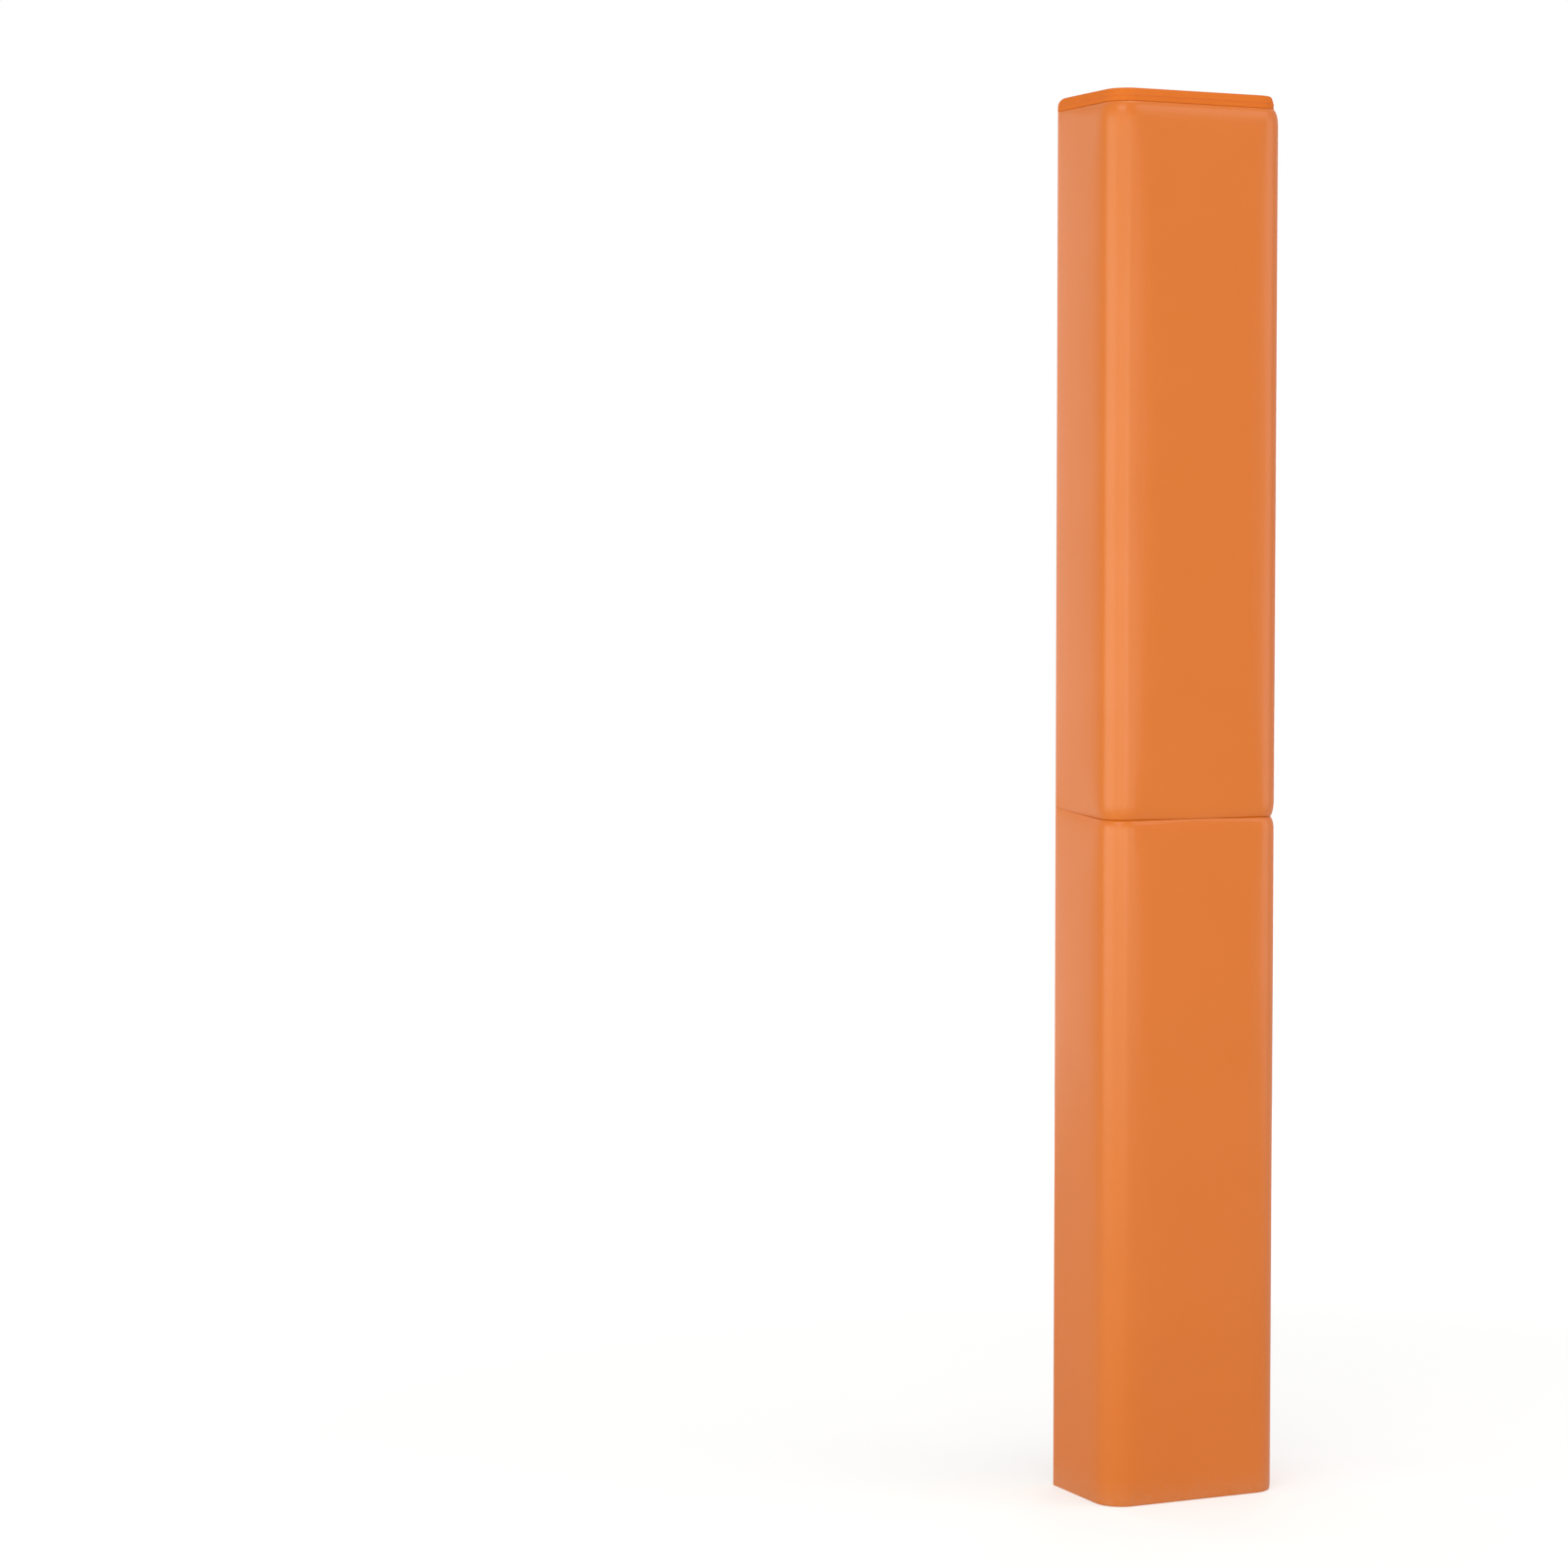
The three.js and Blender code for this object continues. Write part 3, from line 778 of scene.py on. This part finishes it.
def outward(place):
    """The wrap's outward direction round the front and the sides, or None in the channel and behind."""
    if abs(place.x) < X_CHANNEL + EPS and place.y > Y_CHANNEL - EPS:
        return None
    corner_x, corner_y = X_SIDE - FRONT_CORNER, Y_FRONT + FRONT_CORNER
    if abs(place.x) > corner_x + EPS and place.y < corner_y - EPS:
        across = math.copysign(abs(place.x) - corner_x, place.x)
        away = Vector((across, place.y - corner_y, 0))
        return away.normalized() if away.length > FRONT_CORNER - EPS else None
    if place.y < Y_FRONT + EPS:
        return Vector((0, -1, 0))
    if abs(place.x) > X_SIDE - EPS:
        return Vector((math.copysign(1, place.x), 0, 0))
    return None


def shape_ends(obj, section):
    """Rounds the wrap in towards both ends, most at the front corners and less along the sides."""
    z_low, z_high = section_ends(section)
    side_run = Y_REAR - REAR_CORNER - Y_FRONT - FRONT_CORNER
    for vertex in obj.data.vertices:
        way = outward(vertex.co)
        if way is None:
            continue
        fade = min(1, max(0, (Y_REAR - REAR_CORNER - vertex.co.y) / side_run))
        across = min(1, abs(vertex.co.x) / (X_SIDE - FRONT_CORNER))
        drawn = [end_draw(section, LOW, vertex.co.z - z_low), end_draw(section, HIGH, z_high - vertex.co.z)]
        drawn[SEAM_END[section]] *= 1 - MIDDLE_EASE * (1 - across ** 2) ** 2
        vertex.co -= way * sum(drawn) * fade


def turn_in_end(obj, z, steps, panel_mark, rim_mark):
    """Turns the sleeve's end in over its lip, down to the seam, and marks the end panel inside it."""
    start_edit(obj, "faces", lambda f: all(abs(v.co.z - z) < EPS for v in f.verts))
    end = bmesh.from_edit_mesh(obj.data)
    for face in end.faces:
        if face.select:
            face.material_index = panel_mark
    bmesh.update_edit_mesh(obj.data)
    for width, depth in steps:
        bpy.ops.mesh.inset(thickness=width, depth=-depth, use_even_offset=True)
    end = bmesh.from_edit_mesh(obj.data)
    for face in end.faces:
        if face.material_index == panel_mark and not face.select:
            centre = face.calc_center_median()
            outside = rim_mark if centre.y < Y_TAPE_END else WRAP
            face.material_index = LINING if by_channel(centre) else outside
    bmesh.update_edit_mesh(obj.data)
    end_edit()


# How the cloth is blown up, and how gently the firm foam under it stops its rise.
PUFF_FRAMES = 20
PUFF_PRESSURE = 4
PUFF_EASE = 7 * MM


def blow_up(obj, held):
    """Blows a closed mesh up as cloth, held at some of its vertices."""
    pins = obj.vertex_groups.new(name="pins")
    pins.add(held, 1.0, "REPLACE")
    modifier = obj.modifiers.new("cloth", "CLOTH")
    cloth = modifier.settings
    cloth.vertex_group_mass = pins.name
    cloth.use_pressure = True
    cloth.uniform_pressure_force = PUFF_PRESSURE
    cloth.effector_weights.gravity = 0
    modifier.collision_settings.use_collision = False
    modifier.point_cache.frame_start = 1
    modifier.point_cache.frame_end = PUFF_FRAMES
    scene = bpy.context.scene
    for number in range(1, PUFF_FRAMES + 1):
        scene.frame_set(number)
    activate(obj)
    bpy.ops.object.modifier_apply(modifier=modifier.name)
    scene.frame_set(1)
    obj.vertex_groups.clear()


def puff_sleeve(obj, section):
    """Puffs the sleeve up between its seams, and presses it back against the firm foam inside."""
    z_low, z_high = section_ends(section)
    start = [vertex.co.copy() for vertex in obj.data.vertices]
    ways = [outward(place) for place in start]
    held = [
        i for i, (place, way) in enumerate(zip(start, ways))
        if way is None or place.y > Y_REAR - REAR_CORNER - EPS
        or place.z < z_low + EPS or place.z > z_high - EPS
    ]
    blow_up(obj, held)
    for vertex, place, way in zip(obj.data.vertices, start, ways):
        rise = (vertex.co - place).dot(way) if way else 0.0
        vertex.co = place
        if rise > 0:
            limit = FRONT_CROWN * way.y ** 2 + SIDE_CROWN * way.x ** 2
            vertex.co = place + way * limit * math.tanh(rise / PUFF_EASE)


ACROSS_END = 1 * MM


def on_top_edge(edge):
    """Whether an edge lies along the open rim that turns up into the bound top seam."""
    across_end = all(v.co.y > Y_TAPE_END - ACROSS_END for v in edge.verts)
    on_rim = all(
        abs(v.co.z - TOP) < EPS and v.co.y < Y_TAPE_END + EPS and not by_channel(v.co) for v in edge.verts)
    return edge.is_boundary and on_rim and not across_end


TAPE_HEIGHT = TAPE_HIGH.z - TOP
TAPE_TRIM = 14 * MM
TRIM_SHARES = (0.2, 0.45, 0.7)
TAPE_END_SHARE = 0.55
TAPE_LEAN = 3.0 * MM


def rear_trim(y):
    """How much of the bound seam's height is left near its rear ends, where it is trimmed to a curve."""
    share = min(1.0, max(0.0, (Y_TAPE_END - y) / TAPE_TRIM))
    return TAPE_END_SHARE + (1 - TAPE_END_SHARE) * math.sqrt(1 - (1 - share) ** 2)


def raise_edge(obj, test, heights):
    """Pulls an open edge at the top up through several heights, leaning in a little and trimmed behind."""
    start_edit(obj, "edges", test)
    for low, high in zip([0.0, *heights], heights):
        bpy.ops.mesh.extrude_edges_move(TRANSFORM_OT_translate={"value": (0, 0, high - low)})
        lean = TAPE_LEAN * ((high / TAPE_HEIGHT) ** 3 - (low / TAPE_HEIGHT) ** 3)
        factor_x = 1 - lean / X_SIDE
        factor_y = 1 - lean / (Y_TAPE_END - Y_FRONT)
        bpy.ops.transform.resize(value=(factor_x, factor_y, 1), center_override=(0, Y_TAPE_END, 0))
    end_edit()
    for vertex in obj.data.vertices:
        height = vertex.co.z - TOP
        if height > EPS:
            trim = rear_trim(vertex.co.y)
            lean = TAPE_LEAN * (height / TAPE_HEIGHT) ** 3
            vertex.co.x *= 1 + lean * (1 - trim * trim) / X_SIDE
            vertex.co.z = TOP + height * trim


FLANGE_STEPS = [FLANGE_HEIGHT * row / FLANGE_ROWS for row in range(1, FLANGE_ROWS + 1)]


def build_section(section):
    """One section's wrap, channel lining and end panels, cut from one puffed sleeve."""
    sleeve = sleeve_cage(section)
    shape_ends(sleeve, section)
    z_low, z_high = section_ends(section)
    turn_in_end(sleeve, z_low, LIP_STEPS, LOW_PANEL, WRAP)
    if section == "lower":
        turn_in_end(sleeve, z_high, LIP_STEPS, HIGH_PANEL, WRAP)
    else:
        turn_in_end(sleeve, z_high, [(SEAM_ALLOWANCE, 0.0)], HIGH_PANEL, ALLOWANCE)
    puff_sleeve(sleeve, section)
    lining = split_off(sleeve, f"{section}_channel_lining", LINING)
    low_end = split_off(sleeve, f"{section}_low_end", LOW_PANEL)
    high_end = split_off(sleeve, f"{section}_high_end", HIGH_PANEL)
    seams = []
    if section == "upper":
        spare = split_off(sleeve, "spare", ALLOWANCE)
        bpy.data.objects.remove(spare)
        seams = build_tape(top_rim(sleeve))
        raise_edge(high_end, on_top_edge, FLANGE_STEPS)
        raise_edge(sleeve, on_top_edge, FLANGE_STEPS)
    pieces = (
        (sleeve, f"{section}_cover"),
        (lining, f"{section}_liner"),
        (low_end, f"{section}_bottom_panel"),
        (high_end, f"{section}_top_panel"),
    )
    for piece, node in pieces:
        raise_ends(piece)
        thicken(piece, VINYL, even=False)
        finish(piece, ORANGE_VINYL, f"{section}_section", [node])
    return seams


# The foam slabs inside each section

FOAM_EASE = 1.6 * MM
FOAM_JOINT = 0.2 * MM
FOAM_ROUND = 12 * MM
FOAM_EDGE = 1 * MM


def front_slab(name, low, high):
    """The slab across the front, rounded to the sleeve's corners and ends."""
    high.y += FOAM_EASE - FOAM_JOINT
    slab = add_box(name, low, high)
    bevel_upright(slab, high.x, low.y, FRONT_CORNER - FOAM_EASE, segments=8)

    def is_round(edge):
        level = abs(edge.verts[0].co.z - edge.verts[1].co.z) < EPS
        return level and any(v.co.y < high.y - EPS for v in edge.verts)
    bevel_edges(slab, FOAM_ROUND, 4, is_round)
    return slab


def side_slab(name, low, high):
    """The slab down one side, rounded along its outer ends and its rear corner."""
    low.y -= FOAM_EASE - FOAM_JOINT
    outer = low.x if low.x < 0 else high.x
    slab = add_box(name, low, high)
    bevel_upright(slab, abs(outer), high.y, REAR_CORNER, segments=3)
    bevel_edges(slab, FOAM_ROUND / 2, 4, lambda e: runs_along(e, 1) and abs(e.verts[0].co.x - outer) < EPS)
    return slab


def build_foam(section, part):
    """One foam slab, eased inside the cover but nearly touching the next slab."""
    name = f"{section}_{part}_foam"
    low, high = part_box(name)
    ease = Vector((FOAM_EASE, FOAM_EASE, FOAM_EASE))
    make_slab = front_slab if part == "front" else side_slab
    slab = make_slab(f"{section}_{part}_slab", low + ease, high - ease)
    soften(slab, FOAM_EDGE)
    raise_ends(slab)
    finish(slab, CELL_FOAM, f"{section}_section", [name])


# The bound seam at the top

# The tape's thickness, how far it lies outside and inside the wrap's turned-up edge, the heights of its
# rows, the row that the stitches follow, and how far it reaches past the edge's rear end.
TAPE = 0.9 * MM
TAPE_OUT = 1.1 * MM
TAPE_IN = SEAM_ALLOWANCE + TAPE + 0.3 * MM
TAPE_STEPS = [share * TAPE_HEIGHT for share in (0.2, 0.4, 0.6, 0.75, 0.88, 1.0)]
TAPE_STITCH_STEP = 1
TAPE_REACH = 1.6 * MM
FOOT_REACH = 0.2 * MM


def top_rim(wrap):
    """The open rim at the wrap's top as a piece of its own, taken before it is turned up."""
    activate(wrap)
    bpy.ops.object.duplicate()
    rim = bpy.context.object
    rim.name = "top_tape"
    start_edit(rim, "edges", on_top_edge)
    bpy.ops.mesh.select_all(action="INVERT")
    bpy.ops.mesh.delete(type="EDGE")
    end_edit()
    return rim


def face_out(ribbon):
    """Turns all the faces of an upright ribbon round the pad outwards."""
    start_edit(ribbon)
    bpy.ops.mesh.select_all(action="SELECT")
    bpy.ops.mesh.normals_make_consistent(inside=False)
    front = min(bmesh.from_edit_mesh(ribbon.data).faces, key=lambda f: f.calc_center_median().y)
    if front.normal.y > 0:
        bpy.ops.mesh.flip_normals()
    end_edit()


def line_along(obj, height):
    """The ribbon's points at a height above the top, in order from the left rear to the right rear."""
    row = [v.co.copy() for v in obj.data.vertices if abs(v.co.z - TOP - height * rear_trim(v.co.y)) < EPS]
    return sorted(row, key=lambda p: math.atan2(p.x, Y_REAR - p.y))


def outs_along(line):
    """The level outward direction at each point of a line that runs round the pad from left to right."""
    steps = [after - before for before, after in zip([line[0], *line], [*line[1:], line[-1]])]
    return [Vector((step.y, -step.x, 0)).normalized() for step in steps]


def at_tape_foot(item):
    """Whether an edge or a face of the tape lies on the section's top."""
    return all(abs(v.co.z - TOP) < FOOT_REACH for v in item.verts)


def build_tape(tape):
    """The tape folded over the turned-up edges, with a row of stitches along each side of it."""
    raise_edge(tape, lambda e: True, TAPE_STEPS)
    face_out(tape)
    line = line_along(tape, TAPE_STEPS[TAPE_STITCH_STEP])
    outs = outs_along(line)
    line, outs = line[1:-1], outs[1:-1]
    outer = [point + out * (TAPE_OUT + TAPE_STITCH_LIFT) for point, out in zip(line, outs)]
    inner = [point - out * (TAPE_IN + TAPE_STITCH_LIFT) for point, out in zip(line, outs)]
    runs = [(outer, outs), (inner, [-out for out in outs])]
    full = TAPE_OUT + TAPE_IN
    thicken(tape, full, offset=2 * TAPE_OUT / full - 1, even=False)
    for vertex in tape.data.vertices:
        if vertex.co.y > Y_TAPE_END - TAPE_REACH / 2:
            vertex.co.y = Y_TAPE_END + TAPE_REACH
    start_edit(tape, "edges", at_tape_foot)
    bpy.ops.transform.edge_crease(value=1.0)
    end_edit()
    apply_modifier(tape, "SUBSURF", levels=2, render_levels=2)
    start_edit(tape, "faces", at_tape_foot)
    bpy.ops.mesh.delete(type="FACE")
    end_edit()
    thicken(tape, TAPE, even=False)
    finish(tape, MATT_TAPE, "upper_section", ["top_binding"])
    return runs


# The folded vinyl strip that hinges the two sections

# The strip's thickness, half its height at the fold and at the leaves, how round the fold is, where it
# starts and where it spreads behind the lips.
STRIP = 0.5 * MM
STRIP_FOLD = 0.62 * MM
STRIP_LEAF = 1.5 * MM
STRIP_ROUND = 0.98 * STRIP_FOLD
LIP_FRONT = Y_FRONT + DRAW_IN["lower"][HIGH]
LIP_BACK = LIP_FRONT + LIP_WIDTH
STRIP_FRONT = LIP_FRONT + 1.8 * MM
STRIP_BENDS = (LIP_BACK - 2 * MM, LIP_BACK + 0.6 * MM)
LEAF_MARGIN = 3.5 * MM
LEAF_END_MARGIN = 3 * MM


def build_hinge():
    """A strip folded forward between the lips, with one leaf sewn to each of the facing end panels."""
    x = HINGE_HIGH.x
    strip = add_box("hinge_strip", (-x, STRIP_FRONT, SEAM_HEIGHT - STRIP_FOLD),
                    (x, HINGE_HIGH.y, SEAM_HEIGHT + STRIP_FOLD))
    bevel_edges(strip, STRIP_ROUND, 6,
                lambda e: runs_along(e, 0) and abs(e.verts[0].co.y - STRIP_FRONT) < EPS)
    bisect(strip, 1, STRIP_BENDS)
    start_edit(strip, "verts", lambda v: v.co.y > LIP_BACK)
    spread = STRIP_LEAF / STRIP_FOLD
    bpy.ops.transform.resize(value=(1, 1, spread), center_override=(0, 0, SEAM_HEIGHT))
    end_edit()
    start_edit(strip, "faces", lambda f: f.normal.y > FACING or abs(f.normal.x) > FACING)
    bpy.ops.mesh.delete(type="FACE")
    end_edit()
    bisect(strip, 0, spaced(-x, x, CELL))
    thicken(strip, STRIP)
    finish(strip, ORANGE_VINYL, nodes=["fold_hinge"], smooth=60)
    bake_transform(strip)


def leaf_run(way):
    """The stitches that hold one leaf of the hinge to its end panel."""
    x = HINGE_HIGH.x - LEAF_END_MARGIN
    y = HINGE_HIGH.y - LEAF_MARGIN
    z = SEAM_HEIGHT + way * (STRIP_LEAF - STRIP)
    return [Vector((-x, y, z)), Vector((x, y, z))], Vector((0, 0, -way))


# The straps across the channel's mouth

STRAP = 1.8 * MM
STRAP_CORNER = 6 * MM
STRAP_EDGE = 0.45 * MM
FOLD_REACH = 2.2 * MM
FOLD_ROWS = 5
BEND_CELL = 7 * MM
LOOP_MARGIN = 3 * MM

# The hem: its thickness and length, how far it stays inside the strap's edges and corner, and how far it
# goes into the strap.
HEM = 1.5 * MM
HEM_LENGTH = 9.4 * MM
HEM_INSET = 1 * MM
HEM_EDGE = 0.4 * MM
HEM_CORNER = STRAP_CORNER - 0.6 * MM
HEM_LAP = 0.2 * MM

PATCH_BASE = 0.5 * MM
PATCH_CORNER = 3 * MM
PATCH_EDGE = 0.25 * MM
PATCH_SELVEDGE = 1.4 * MM

# How far the stitches stay from the hem's fold, the strap's edges, the sewn end's edges and its folded
# side.
HEM_STITCH = 2 * MM
STRAP_MARGIN = 3 * MM
ANCHOR_MARGIN = 4 * MM
ANCHOR_FOLD = 2 * MM


def strap_rise(x, bend_low, bend_high, rise):
    """How far the strap has risen from the pad's rear towards its patch, at a place across the mouth."""
    share = min(1.0, max(0.0, (x - bend_low) / (bend_high - bend_low)))
    return rise * share * share * (3 - 2 * share)


def build_hem(low, high):
    """The webbing's free end folded under the strap, between the strap's low and high corners."""
    landing = high.y - STRAP
    hem = add_box("hem", (high.x - HEM_LENGTH, landing - HEM, low.z + HEM_INSET),
                  (high.x - HEM_EDGE, landing + HEM_LAP, high.z - HEM_INSET))
    bevel_edges(hem, HEM_CORNER, 4, lambda e: runs_along(e, 1) and e.verts[0].co.x > high.x - HEM_INSET)
    soften(hem, HEM_EDGE)
    return hem


def build_strap(name):
    """One length of webbing: sewn down at the left, across the mouth, and hemmed under at its free end."""
    anchor_low, anchor_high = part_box(f"{name}_anchor")
    low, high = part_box(name)
    strap = add_upright_sheet(f"{name}_webbing", anchor_low.x, high.x, low.y, low.z, high.z)
    start_edit(strap, "verts", lambda v: v.co.x > 0)
    bpy.ops.mesh.bevel(offset=STRAP_CORNER, segments=5, affect="VERTICES")
    end_edit()
    bend_low = low.x + (anchor_high.x - anchor_low.x)
    bend_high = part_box(f"{name}_loop")[0].x - LOOP_MARGIN
    fold = (anchor_high.x + low.x) / 2
    fold_places = [fold + FOLD_REACH * row / FOLD_ROWS for row in range(-FOLD_ROWS, FOLD_ROWS + 1)]
    bisect(strap, 0, fold_places + spaced(bend_low, bend_high, BEND_CELL) + [bend_low, bend_high])
    for vertex in strap.data.vertices:
        vertex.co.y += strap_rise(vertex.co.x, bend_low, bend_high, high.y - STRAP - low.y)
    thicken(strap, STRAP, offset=1.0)
    soften(strap, STRAP_EDGE)
    join(strap, build_hem(low, high))
    finish(strap, WEBBING, nodes=[name, f"{name}_anchor"], smooth=50)
    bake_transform(strap)


def patch_runs(low, high, y):
    """The stitches down the selvedges of a patch."""
    edge = PATCH_SELVEDGE / 2
    return rectangle_runs(low.x + edge, high.x - edge, y, low.z + edge, high.z - edge)


def strap_runs(name):
    """The stitches through the strap's outer face: round its hook patch, and along its hem."""
    low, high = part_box(name)
    x = high.x - HEM_LENGTH + HEM_STITCH
    hem = [Vector((x, high.y, low.z + STRAP_MARGIN)), Vector((x, high.y, high.z - STRAP_MARGIN))]
    return patch_runs(*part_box(f"{name}_hook"), high.y) + [(hem, REARWARD)]


def anchor_runs(name):
    """The stitched box and cross that hold the strap's sewn end."""
    low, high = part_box(f"{name}_anchor")
    x_low, x_high = low.x + ANCHOR_MARGIN, high.x - ANCHOR_MARGIN - ANCHOR_FOLD
    z_low, z_high = low.z + ANCHOR_MARGIN, high.z - ANCHOR_MARGIN
    y = high.y
    runs = rectangle_runs(x_low, x_high, y, z_low, z_high)
    for z_start, z_end in ((z_low, z_high), (z_high, z_low)):
        runs.append(([Vector((x_low, y, z_start)), Vector((x_high, y, z_end))], REARWARD))
    return runs


def round_patch(name, low, high):
    """A flat patch against the rear with round corners."""
    patch = add_box(name, low, high)
    bevel_edges(patch, PATCH_CORNER, 4, lambda e: runs_along(e, 1))
    return patch


def build_loop(name, section):
    """The napped patch on the pad's right rear edge: a flat base with pile raised inside its selvedge."""
    low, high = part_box(f"{name}_loop")
    top = low.y + PATCH_BASE
    patch = round_patch(f"{name}_pile", low, Vector((high.x, top, high.z)))
    start_edit(patch, "faces", lambda f: f.normal.y > FACING)
    bpy.ops.mesh.inset(thickness=PATCH_SELVEDGE)
    bpy.ops.mesh.extrude_region_move(TRANSFORM_OT_translate={"value": (0, high.y - top, 0)})
    end_edit()
    soften(patch, PATCH_EDGE)
    finish(patch, LOOP_PILE, f"{section}_section", [f"{name}_loop"], smooth=50)


def loop_runs(name):
    low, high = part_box(f"{name}_loop")
    return patch_runs(low, high, low.y + PATCH_BASE)


HOOK_PITCH = 2 * MM
HOOK_WIDTH = 0.3 * MM
HOOK_LEAN = 1.5 * HOOK_WIDTH
HOOK_GAP = 0.1 * MM
HOOK_MARGIN = 2.5 * MM


def build_hook(name):
    """The patch under the strap's free end: a flat base with rows of little bent hooks."""
    low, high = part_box(f"{name}_hook")
    base = high.y - PATCH_BASE
    patch = round_patch(f"{name}_hooks", Vector((low.x, base, low.z)), high)
    x_low, z_low = low.x + HOOK_MARGIN, low.z + HOOK_MARGIN
    columns = int((high.x - HOOK_MARGIN - x_low) / HOOK_PITCH) + 1
    rows = int((high.z - HOOK_MARGIN - z_low) / HOOK_PITCH) + 1
    tip = low.y + HOOK_GAP
    hook = add_box("hook", (x_low, tip, z_low), (x_low + HOOK_WIDTH, base, z_low + HOOK_WIDTH))
    bisect(hook, 1, [(tip + 2 * base) / 3])
    start_edit(hook, "verts", lambda v: v.co.y < tip + EPS)
    bpy.ops.transform.translate(value=(HOOK_LEAN, 0, 0))
    end_edit()
    for count, step in ((columns, (HOOK_PITCH, 0, 0)), (rows, (0, 0, HOOK_PITCH))):
        apply_modifier(hook, "ARRAY", count=count, use_relative_offset=False, use_constant_offset=True,
                       constant_offset_displace=step)
    join(patch, hook)
    finish(patch, HOOK_TAPE, name, [f"{name}_hook"], smooth=30)


MOUTH_BESIDE = 5.5 * MM
MOUTH_MARGIN = 7 * MM


def mouth_runs(section):
    """The stitches down both rear edges, beside the channel's mouth."""
    z_low, z_high = section_ends(section)
    z_ends = (z_low + MOUTH_MARGIN, z_high - MOUTH_MARGIN)
    places = (-X_CHANNEL - MOUTH_BESIDE, X_CHANNEL + MOUTH_BESIDE)
    return [([risen(Vector((x, Y_REAR, z))) for z in z_ends], REARWARD) for x in places]


add_camera()
add_world()
for lamp in LAMPS:
    add_lamp(*lamp)
add_floor()
tape_seams = []
for section in ("lower", "upper"):
    tape_seams += build_section(section)
    for part in ("front", "left", "right"):
        build_foam(section, part)
build_hinge()
for section, seams, way in (("lower", [], -1), ("upper", tape_seams, 1)):
    dark_runs = []
    for number in (1, 2, 3):
        name = f"{section}_strap_{number}"
        build_strap(name)
        build_loop(name, section)
        build_hook(name)
        dark_runs += anchor_runs(name) + loop_runs(name)
        sew(f"{name}_thread", BLACK_THREAD, name, strap_runs(name))
    sew(f"{section}_strap_thread", BLACK_THREAD, f"{section}_section", dark_runs)
    bright_runs = mouth_runs(section) + [leaf_run(way)] + seams
    sew(f"{section}_thread", ORANGE_THREAD, f"{section}_section", bright_runs)
